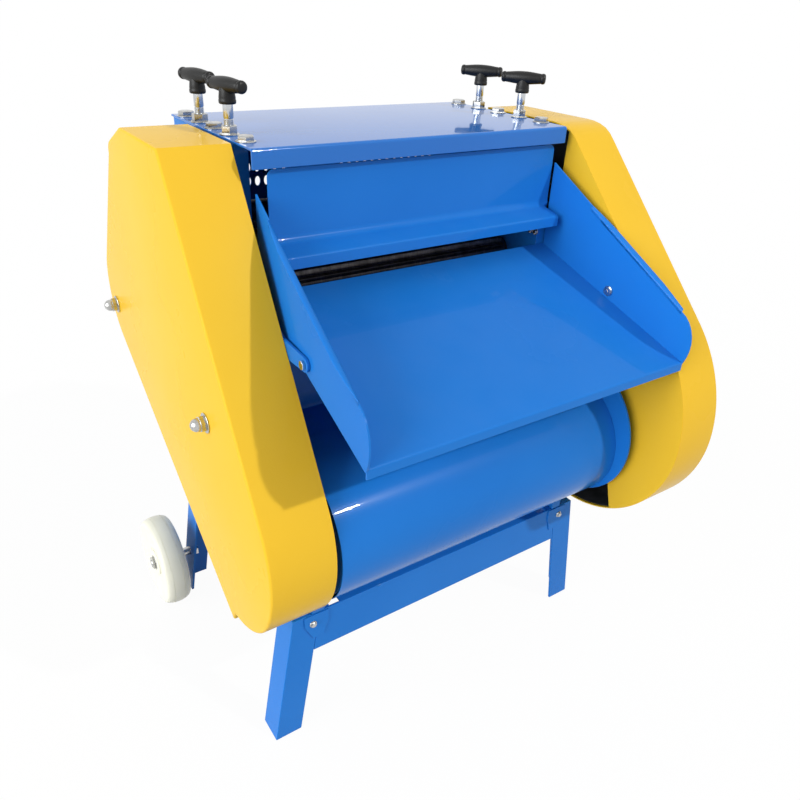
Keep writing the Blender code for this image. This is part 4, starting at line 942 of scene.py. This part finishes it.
def make_lock_nuts():
    """The lock nut and washer round each pressure screw, on the top plate."""
    nut = bmesh.new()
    lathe(nut, [(0.0, 0.0068), (0.0, 0.0125), (0.0005, 0.0128), (0.0014, 0.0128), (0.0018, 0.0124),
                (0.0018, 0.0068)], sides=40)
    hexagon(nut, 0.0108, 0.0018, 0.0118)
    places = [((side * PLATE_MIDDLE, *place(depth, 0)), (0, 0, 0.2 + 0.3 * side + depth * 3))
              for side in (-1, 1) for depth in ROLLER_DEPTHS]
    repeated("screw_lock_nuts", nut, places, "steel")


def make_guard_nuts():
    """Dome nuts and washers on the guards' studs."""
    face = GUARD_OUTER + 0.0003
    dome = [(face + 0.0095, 0.0092)] + [
        (face + 0.0110 + 0.0098 * math.sin(a), 0.0092 * math.cos(a))
        for a in (math.pi / 2 * i / 10 for i in range(10))] + [(face + 0.0208, 0.0)]
    for side, hand in HANDS:
        for label, stud in zip(("front", "back"), GUARD_STUDS[side]):
            turn = along_x(0, *place(*stud), side)
            bm = bmesh.new()
            lathe(bm, [(face, 0.0), (face, 0.0136), (face + 0.0004, 0.0138), (face + 0.0014, 0.0138),
                       (face + 0.0018, 0.0134), (face + 0.0018, 0.0)], turn, 48)
            hexagon(bm, 0.0114, face + 0.0018, face + 0.0095, turn)
            lathe(bm, [(face + 0.0090, 0.0)] + dome, turn, 48)
            add_piece(f"{hand}_dome_nut_{label}", bm, "steel", stands_for=(f"{hand}_guard_nut_{label}",))


def make_tray_bolts():
    """The bolts that hold the tray's walls to the side plates' arms."""
    y, z = place(*TRAY_BOLT)
    inside, outside = tray_half(y) - TRAY_SHEET, 0.2700
    for side, hand in HANDS:
        turn = along_x(0, y, z, side)
        bm = bmesh.new()
        lathe(bm, [(inside - 0.0014, 0.0), (inside - 0.0014, 0.0080), (inside, 0.0082), (inside, 0.0)],
              turn, 40)
        hexagon(bm, 0.0064, inside - 0.0050, inside - 0.0014, turn, 0.0005)
        lathe(bm, [(inside - 0.0056, 0.0), (inside - 0.0056, 0.0030), (inside - 0.0050, 0.0036),
                   (outside, 0.0036), (outside, 0.0)], turn, 32)
        hexagon(bm, 0.0062, outside - 0.0026, outside + 0.0012, turn, 0.0005)
        add_piece(f"tray_bolt_set_{hand}", bm, "chrome", stands_for=(f"tray_bolt_{hand}",))


def screw_profile():
    """A pressure screw's profile: threaded up to just above the top plate, then plain."""
    r, pitch = SCREW_RADIUS, 0.0014
    root = r - 0.0007
    profile = [(SCREW_FOOT, 0.0), (SCREW_FOOT, r - 0.001), (SCREW_FOOT + 0.001, r - 0.0002)]
    height = SCREW_FOOT + 0.002
    while height < TOP_HEIGHT + 0.020:
        profile += [(height, r), (height + 0.0003, r), (height + 0.00075, root), (height + 0.00095, root)]
        height += pitch
    return profile + [(TOP_HEIGHT + 0.0215, r), (SCREW_TOP, r), (SCREW_TOP, 0.0)]


def make_screws_and_handles():
    """The four pressure screws and their T handles."""
    boss = [(0.0, 0.0), (0.0, 0.0098), (0.0010, 0.0108), (0.0045, 0.0110), (0.0055, 0.0104),
            (0.0070, 0.0106), (0.0120, 0.0100), (0.0180, 0.0092), (0.0220, 0.0080), (0.0220, 0.0)]
    half = [(0.0, 0.0095), (0.0060, 0.0094), (0.0120, 0.0090), (0.0180, 0.0084), (0.0240, 0.0077),
            (0.0272, 0.0074), (0.0278, 0.0070), (0.0284, 0.0074), (0.0292, 0.0078), (0.0315, 0.0078),
            (0.0332, 0.0072), (0.0343, 0.0058), (0.0348, 0.0036), (HANDLE_HALF, 0.0)]
    bar = [(-along, radius) for along, radius in half[::-1]] + half[1:]
    for word, depth in zip(("front", "rear"), ROLLER_DEPTHS):
        y, _ = place(depth, 0)
        for side, hand in HANDS:
            x, body = side * PLATE_MIDDLE, f"{word}_tee_{hand}"
            screw = bmesh.new()
            lathe(screw, screw_profile(), Matrix.Translation((x, y, 0)), 40)
            add_piece(f"{word}_rod_{hand}", screw, "chrome", body, (f"{word}_screw_{hand}",), sharp=50)
            handle = bmesh.new()
            lathe(handle, boss, Matrix.Translation((x, y, HANDLE_BASE)), 48)
            turn = (Matrix.Translation((x, y, HANDLE_BASE + HANDLE_HEIGHT))
                    @ Matrix.Rotation(HANDLE_TURNS[hand], 4, "Z") @ Matrix.Rotation(-math.pi / 2, 4, "X"))
            lathe(handle, bar, turn, 48)
            add_piece(f"{word}_t_handle_{hand}", handle, "black_plastic", body,
                      (f"{word}_handle_{hand}",), sharp=50)


# ---------------------------------------------------------------- rollers and drive

def roller_ends(right_end, left_end, body):
    """A roller's profile from its left end to its right, with shoulders and small chamfers."""
    shoulder = 0.2364
    chamfer = 0.0008
    return [
        (left_end, 0.0), (left_end, JOURNAL_RADIUS - chamfer), (left_end + chamfer, JOURNAL_RADIUS),
        (-shoulder, JOURNAL_RADIUS), (-shoulder, SHOULDER_RADIUS), (-ROLLER_HALF, SHOULDER_RADIUS), *body,
        (ROLLER_HALF, SHOULDER_RADIUS), (shoulder, SHOULDER_RADIUS), (shoulder, JOURNAL_RADIUS),
        (right_end - chamfer, JOURNAL_RADIUS), (right_end, JOURNAL_RADIUS - chamfer), (right_end, 0.0)]


def bladed_profile(at_blade, between):
    """The stepped body of a stripping roller."""
    points = [(-ROLLER_HALF, between)]
    pitch = 2 * ROLLER_HALF / 8
    for index in range(8):
        middle = -ROLLER_HALF + pitch * (index + 0.5)
        points += [(middle - 0.006, between), (middle - 0.003, at_blade), (middle + 0.003, at_blade),
                   (middle + 0.006, between)]
    return points + [(ROLLER_HALF, between)]


def make_rollers():
    """Toothed feed rollers in front and stepped stripping rollers behind."""
    inside, chain_end, belt_end = 0.256, -0.293, 0.321
    teeth, tooth_half, thin, thick = 14, 0.223, 0.028, 0.032
    core = ROLLER_RADIUS - 0.0042
    section = [(-0.0052, core - 0.001), (-0.0012, ROLLER_RADIUS - 0.0004), (0.0, ROLLER_RADIUS),
               (0.0012, ROLLER_RADIUS - 0.0004), (0.0052, core - 0.001)]
    for name, drop, right_end, left_end, body in (
            ("lower_feed_roller", LOW_AXIS_DROP, belt_end, chain_end, "feed_drive"),
            ("upper_feed_roller", HIGH_AXIS_DROP, inside, -inside, "feed_pressure")):
        y, z = place(ROLLER_DEPTHS[0], drop)
        bm = bmesh.new()
        lathe(bm, roller_ends(right_end, left_end, [(-ROLLER_HALF, core), (ROLLER_HALF, core)]),
              along_x(0, y, z))
        add_piece(f"{name}_core", bm, "dark_steel", body, (name,))
        tooth = bmesh.new()
        slab(tooth, section, -tooth_half, 2 * tooth_half)
        places = [((0, y, z), (2 * math.pi * (i + 0.25) / teeth, 0, 0)) for i in range(teeth)]
        repeated(f"{name}_teeth", tooth, places, "dark_steel", body)
    for name, drop, left_end, body, radii in (
            ("lower_strip_roller", LOW_AXIS_DROP, chain_end, "strip_drive", (thick, thin)),
            ("upper_strip_roller", HIGH_AXIS_DROP, -inside, "strip_pressure", (thin, thick))):
        bm = bmesh.new()
        lathe(bm, roller_ends(inside, left_end, bladed_profile(*radii)),
              along_x(0, *place(ROLLER_DEPTHS[1], drop)))
        add_piece(f"{name}_turned", bm, "dark_steel", body, (name,))
    for word in ("front", "rear"):
        for _, hand in HANDS:
            softened(f"{word}_block_{hand}", "dark_steel", 0.0008, f"{word}_press")


def pulley(name, radius, bore, y, z, body):
    """A grooved pulley, dished between its hub and rim when it is large."""
    half, groove, edge = 0.015, 0.009, 0.0008
    floor, rim, hub, web = radius - 0.007, radius - 0.020, bore + 0.012, half * 0.4
    dish = [(web, hub + 0.003), (web, rim - 0.003), (half, rim)] if radius > 0.08 else []
    right = [(groove * 0.6, floor), (groove, radius), (half - edge, radius), (half, radius - edge),
             *dish[::-1], (half, hub), (half, bore)]
    profile = [(PULLEY_MIDDLE - along, out) for along, out in right[::-1]]
    profile += [(PULLEY_MIDDLE + along, out) for along, out in right]
    bm = bmesh.new()
    lathe(bm, profile, along_x(0, y, z), 96)
    add_piece(f"{name}_casting", bm, "dark_steel", body, (name,))


def band_loop(first, second, thickness, steps=40):
    """Inner and outer (y, z) loops of a band round two circles, each (y, z, radius)."""
    (y1, z1, r1), (y2, z2, r2) = first, second
    between = Vector((y2 - y1, z2 - z1))
    lean = math.acos((r1 - r2) / between.length)
    heading = math.atan2(between.y, between.x)
    inner, outer = [], []
    for y, z, radius, start, sweep in (
            (y1, z1, r1, heading + lean, 2 * math.pi - 2 * lean), (y2, z2, r2, heading - lean, 2 * lean)):
        for step in range(steps + 1):
            angle = start + sweep * step / steps
            inner.append(Vector((y + radius * math.cos(angle), z + radius * math.sin(angle))))
            outer.append(Vector((y + (radius + thickness) * math.cos(angle),
                                 z + (radius + thickness) * math.sin(angle))))
    return inner, outer


def make_belt(motor_y, motor_z, roller_y, roller_z):
    """The V belt, narrower at its inner face."""
    inner, outer = band_loop((motor_y, motor_z, 0.0333), (roller_y, roller_z, 0.1233), 0.0088)
    inner_half, outer_half = 0.0045, 0.0080
    bm = bmesh.new()
    rows = [[bm.verts.new((PULLEY_MIDDLE + x, p.x, p.y)) for x, p in (
        (-inner_half, low), (inner_half, low), (outer_half, high), (-outer_half, high))]
        for low, high in zip(inner, outer)]
    skin(bm, rows + rows[:1], capped=False)
    add_piece("drive_belt_band", bm, "black_rubber", stands_for=("drive_belt",), bevel=0.0005)


def chain_link(outer_link):
    """One chain link: two waisted side plates and a roller round its pin."""
    pitch, end, waist, thick = 0.0096, 0.0034, 0.0024, 0.0009
    across = 0.0034 if outer_link else 0.0024
    outline = []
    for middle, first, low in ((0.0, math.pi / 2, -waist), (pitch, -math.pi / 2, waist)):
        for i in range(9):
            angle = first + math.pi * i / 8
            outline.append((middle + end * math.cos(angle), end * math.sin(angle)))
        outline.append((pitch / 2, low))
    bm = bmesh.new()
    for side in (-1, 1):
        slab(bm, outline, side * across, side * thick)
    for reach, radius, sides in ((0.0024, 0.0030, 16), (0.0046, 0.0014, 12)):
        lathe(bm, [(-reach, 0.0), (-reach, radius), (reach, radius), (reach, 0.0)],
              along_x(0, 0, 0), sides)
    return bm


def make_chain(front_y, rear_y, z):
    """The roller chain's links along the loop round both sprockets."""
    _, loop = band_loop((front_y, z, 0.0363), (rear_y, z, 0.0363), 0.0040, 60)
    lengths = [0.0]
    closed = loop + loop[:1]
    for a, b in zip(closed, closed[1:]):
        lengths.append(lengths[-1] + (b - a).length)
    total = lengths[-1]
    count = 48

    def at(distance):
        distance %= total
        for i in range(len(loop)):
            if lengths[i + 1] >= distance:
                share = (distance - lengths[i]) / max(lengths[i + 1] - lengths[i], 1e-9)
                return closed[i].lerp(closed[i + 1], share)
        return closed[0]

    for kind, name in ((0, "chain_outer_links"), (1, "chain_inner_links")):
        places = []
        for i in range(kind, count, 2):
            here, ahead = at(total * i / count), at(total * (i + 1) / count)
            way = ahead - here
            places.append(((-CHAIN_MIDDLE, here.x, here.y), (math.atan2(way.y, way.x), 0, 0)))
        repeated(name, chain_link(kind == 0), places, "dark_steel",
                 stands_for=("drive_chain",) if kind == 0 else ())


def make_sprocket(name, y, z, body):
    """A toothed sprocket with its hub."""
    teeth, half, hub = 24, 0.0028, 0.0030
    outline = []
    for i in range(teeth):
        for share, radius in ((0.0, 0.0326), (0.25, 0.0330), (0.42, 0.0358), (0.58, 0.0358), (0.75, 0.0330)):
            angle = 2 * math.pi * (i + share) / teeth
            outline.append((y + radius * math.cos(angle), z + radius * math.sin(angle)))
    bm = bmesh.new()
    slab(bm, outline, -CHAIN_MIDDLE - half, 2 * half)
    low, high = -CHAIN_MIDDLE - hub, -CHAIN_MIDDLE + hub
    lathe(bm, [(low, 0.0152), (low, 0.0225), (high, 0.0225), (high, 0.0152)], along_x(0, y, z), 48)
    add_piece(f"{name}_toothed", bm, "dark_steel", body, (name,))


def make_motor(y, z):
    """The motor: end bells, a body with cooling ribs, a fan cowl and its foot."""
    bm = bmesh.new()
    lathe(bm, [(-0.1200, 0.0), (-0.1200, 0.0440), (-0.1185, 0.0560), (-0.1140, 0.0630), (-0.1060, 0.0665),
               (-0.0840, 0.0670), (-0.0830, 0.0625), (-0.0790, 0.0615), (0.0760, 0.0615),
               (0.0770, 0.0665), (0.0960, 0.0680), (0.1060, 0.0660), (0.1120, 0.0560), (0.1160, 0.0330),
               (0.1200, 0.0300), (0.1200, 0.0)], along_x(0, y, z), 72)
    right_foot = [(0.045, -0.078), (0.045, -0.071), (0.030, -0.066), (0.026, -0.052)]
    foot = [(-a, b) for a, b in right_foot[:1]] + right_foot + [(-a, b) for a, b in right_foot[:0:-1]]
    for start in (-0.070, 0.040):
        slab(bm, [(y + a, z + b) for a, b in foot], start, 0.030)
    add_piece("motor_housing", bm, "grey_paint", stands_for=("motor",), bevel=0.0006)
    rib = bmesh.new()
    slab(rib, [(-0.0013, 0.0600), (-0.0008, 0.0692), (0.0, 0.0697), (0.0008, 0.0692), (0.0013, 0.0600)],
         -0.0780, 0.1530)
    ribs, over_foot = 36, range(16, 21)
    places = [((0, y, z), (2 * math.pi * i / ribs, 0, 0)) for i in range(ribs) if i not in over_foot]
    repeated("motor_ribs", rib, places, "grey_paint")
    bolt = bmesh.new()
    hexagon(bolt, 0.0058, 0.0, 0.0042, Matrix.Identity(4), 0.0004)
    bolt_places = [((x, y + dy, z - 0.0705), (0, 0, 0.3)) for x in (-0.055, 0.055) for dy in (-0.0375, 0.0375)]
    repeated("motor_foot_bolts", bolt, bolt_places, "steel")
    shaft = bmesh.new()
    lathe(shaft, [(0.0800, 0.0), (0.0800, 0.012), (0.3182, 0.012), (0.3190, 0.0112), (0.3190, 0.0)],
          along_x(0, y, z), 48)
    add_piece("motor_output_shaft", shaft, "steel", "motor_rotor", ("motor_shaft",))


def make_drive():
    """Motor, pulleys, belt, sprockets and chain."""
    motor_y, motor_z = place(*NOSE_CENTRE)
    front_y, low_z = place(ROLLER_DEPTHS[0], LOW_AXIS_DROP)
    rear_y, _ = place(ROLLER_DEPTHS[1], LOW_AXIS_DROP)
    make_motor(motor_y, motor_z)
    pulley("motor_pulley", 0.040, 0.0123, motor_y, motor_z, "motor_rotor")
    pulley("driven_pulley", 0.130, 0.0153, front_y, low_z, "feed_drive")
    make_belt(motor_y, motor_z, front_y, low_z)
    make_sprocket("front_sprocket", front_y, low_z, "feed_drive")
    make_sprocket("rear_sprocket", rear_y, low_z, "strip_drive")
    make_chain(front_y, rear_y, low_z)


def make_wheels():
    """The ivory wheels with crowned tread, two parting lines and a recessed web, and their axles."""
    out, far, sleeve = 0.02025, -0.0262, 0.0190
    half = [(0.0202, 0.0090), (0.0202, 0.0215), (0.0196, 0.0235), (0.0188, 0.0246), (0.0160, 0.0250),
            (0.0160, 0.0280), (0.0176, 0.0290), (0.0190, 0.0400), (0.0198, 0.0540), (0.0206, 0.0640),
            (0.0218, 0.0690), (0.0224, 0.0720), (0.0225, 0.0745), (0.0220, 0.0770), (0.0206, 0.0793),
            (0.0180, 0.0813), (0.0150, 0.0826), (0.0112, 0.0838), (0.0102, 0.0840), (0.0100, 0.0834),
            (0.0096, 0.0834), (0.0094, 0.0842), (0.0060, 0.0847), (0.0, WHEEL_RADIUS)]
    profile = half + [(-along, radius) for along, radius in half[-2::-1]]
    for side, hand in HANDS:
        turn = along_x(side * WHEEL_MIDDLE, FRONT + WHEEL_DEPTH, WHEEL_RADIUS, side)
        bm = bmesh.new()
        lathe(bm, profile, turn, 112)
        add_piece(f"wheel_{hand}_moulded", bm, "white_nylon", f"{hand}_wheel", (f"wheel_{hand}",), sharp=45)
        axle = bmesh.new()
        lathe(axle, [(out, 0.0), (out, 0.0138), (out + 0.0005, 0.0140), (out + 0.0013, 0.0138),
                     (out + 0.0013, 0.0)], turn, 48)
        hexagon(axle, 0.0122, out + 0.0013, out + 0.0055, turn, 0.0006)
        lathe(axle, [(out + 0.0055, 0.0), (out + 0.0055, 0.0070), (out + 0.0067, 0.0062),
                     (out + 0.0070, 0.0040), (out + 0.0070, 0.0)], turn, 32)
        low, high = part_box(f"axle_{hand}")[0][0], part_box(f"axle_{hand}")[1][0]
        inner = side * (low if side > 0 else high) - WHEEL_MIDDLE
        lathe(axle, [(inner + 0.0006, 0.0), (inner + 0.0006, 0.0079), (sleeve, 0.0079), (sleeve, 0.0)],
              turn, 40)
        lathe(axle, [(far, 0.0), (far, 0.0132), (far + 0.0006, 0.0138), (far + 0.0050, 0.0138),
                     (far + 0.0056, 0.0132), (far + 0.0056, 0.0)], turn, 40)
        hexagon(axle, 0.0122, inner, inner + 0.0085, turn, 0.0006)
        add_piece(f"axle_{hand}_bolt", axle, "steel", stands_for=(f"axle_{hand}",))


# ---------------------------------------------------------------- stage, lamps and camera

def seen_ray(tree):
    """A socket that is 1 for what the camera sees straight, in a reflection or through glass."""
    path = node(tree, "ShaderNodeLightPath").outputs
    shown = reckon(tree, "MAXIMUM", path["Is Camera Ray"], path["Is Glossy Ray"])
    return reckon(tree, "MAXIMUM", shown, path["Is Transmission Ray"])


def make_stage():
    """A pale floor that keeps the shadow, and a white surround that lights softly."""
    reach = 60.0
    mesh = bpy.data.meshes.new("floor")
    mesh.from_pydata([(-reach, -reach, 0.0), (reach, -reach, 0.0), (reach, reach, 0.0),
                      (-reach, reach, 0.0)], [], [(0, 1, 2, 3)])
    floor = in_scene("floor", mesh)
    material, tree, shader, where = new_finish("pale_floor", {
        "Roughness": 0.9, "Specular IOR Level": 0.1})
    cloud = noise(tree, where, 0.8, 2.0)
    tree.links.new(colour_mix(tree, cloud, (0.50, 0.50, 0.50), (0.54, 0.54, 0.54)),
                   shader.inputs["Base Color"])
    white_share = 0.93
    share = reckon(tree, "MULTIPLY", seen_ray(tree), white_share)
    white = node(tree, "ShaderNodeEmission", {"Color": (1.0, 1.0, 1.0, 1.0), "Strength": 1.03})
    mixed = node(tree, "ShaderNodeMixShader", {0: share, 1: shader.outputs[0], 2: white.outputs[0]})
    tree.links.new(mixed.outputs[0], tree.nodes["Material Output"].inputs["Surface"])
    mesh.materials.append(material)
    world = bpy.data.worlds.new("studio")
    bpy.context.scene.world = world
    world.use_nodes = True
    tree = world.node_tree
    tree.nodes.clear()
    soft = node(tree, "ShaderNodeBackground", {"Color": (0.95, 0.98, 1.0, 1.0), "Strength": 0.58})
    white = node(tree, "ShaderNodeBackground", {"Color": (1.0, 1.0, 1.0, 1.0), "Strength": 1.0})
    mixed = node(tree, "ShaderNodeMixShader", {0: seen_ray(tree), 1: soft.outputs[0], 2: white.outputs[0]})
    out = node(tree, "ShaderNodeOutputWorld")
    tree.links.new(mixed.outputs[0], out.inputs["Surface"])


def sun(name, to_light, strength, angle, colour):
    """A sun lamp that shines from a direction."""
    lamp = bpy.data.lights.new(name, "SUN")
    lamp.energy = strength
    lamp.angle = math.radians(angle)
    lamp.color = colour
    obj = in_scene(name, lamp)
    obj.rotation_euler = Vector(to_light).to_track_quat("Z", "Y").to_euler()
    obj.location = Vector(to_light).normalized() * 4.0


def make_lamps():
    """A crisp key from the front right and a wide soft fill from the left."""
    sun("key_lamp", (0.40, -0.69, 0.60), 1.45, 2.0, (1.0, 0.98, 0.95))
    sun("left_fill", (-0.95, -0.10, 0.28), 3.25, 50.0, (0.97, 0.99, 1.0))


def make_camera():
    """The camera at the photograph's place and angle."""
    data = bpy.data.cameras.new("photo_camera")
    data.sensor_width = 36.0
    data.sensor_fit = "HORIZONTAL"
    data.lens = 32.438
    data.clip_start = 0.05
    data.clip_end = 300.0
    camera = in_scene("photo_camera", data)
    right, up, back = (
        (0.82884, -0.55774, 0.04414), (0.24242, 0.42910, 0.87012), (-0.50424, -0.71049, 0.49087))
    turn = Matrix((right, up, back)).transposed().to_4x4()
    camera.matrix_world = Matrix.Translation((-0.6119, -0.8600, 1.0543)) @ turn
    bpy.context.scene.camera = camera


make_camera()
make_stage()
make_lamps()
make_top_plate()
make_front_cover()
make_tray()
make_flap()
guard_shell(-1, "left_guard_shell", left_guard_outline(), ("left_guard",))
guard_shell(1, "right_guard_shell", right_guard_outline(), ("right_guard",))
make_side_plate(-1, "left_side_plate")
make_side_plate(1, "right_side_plate")
make_rear_panel()
make_base()
make_leg_brackets()
make_bearing_bolts()
make_top_bolts()
make_lock_nuts()
make_guard_nuts()
make_tray_bolts()
make_screws_and_handles()
make_rollers()
make_drive()
make_wheels()

bpy.context.scene.view_settings.view_transform = "Standard"
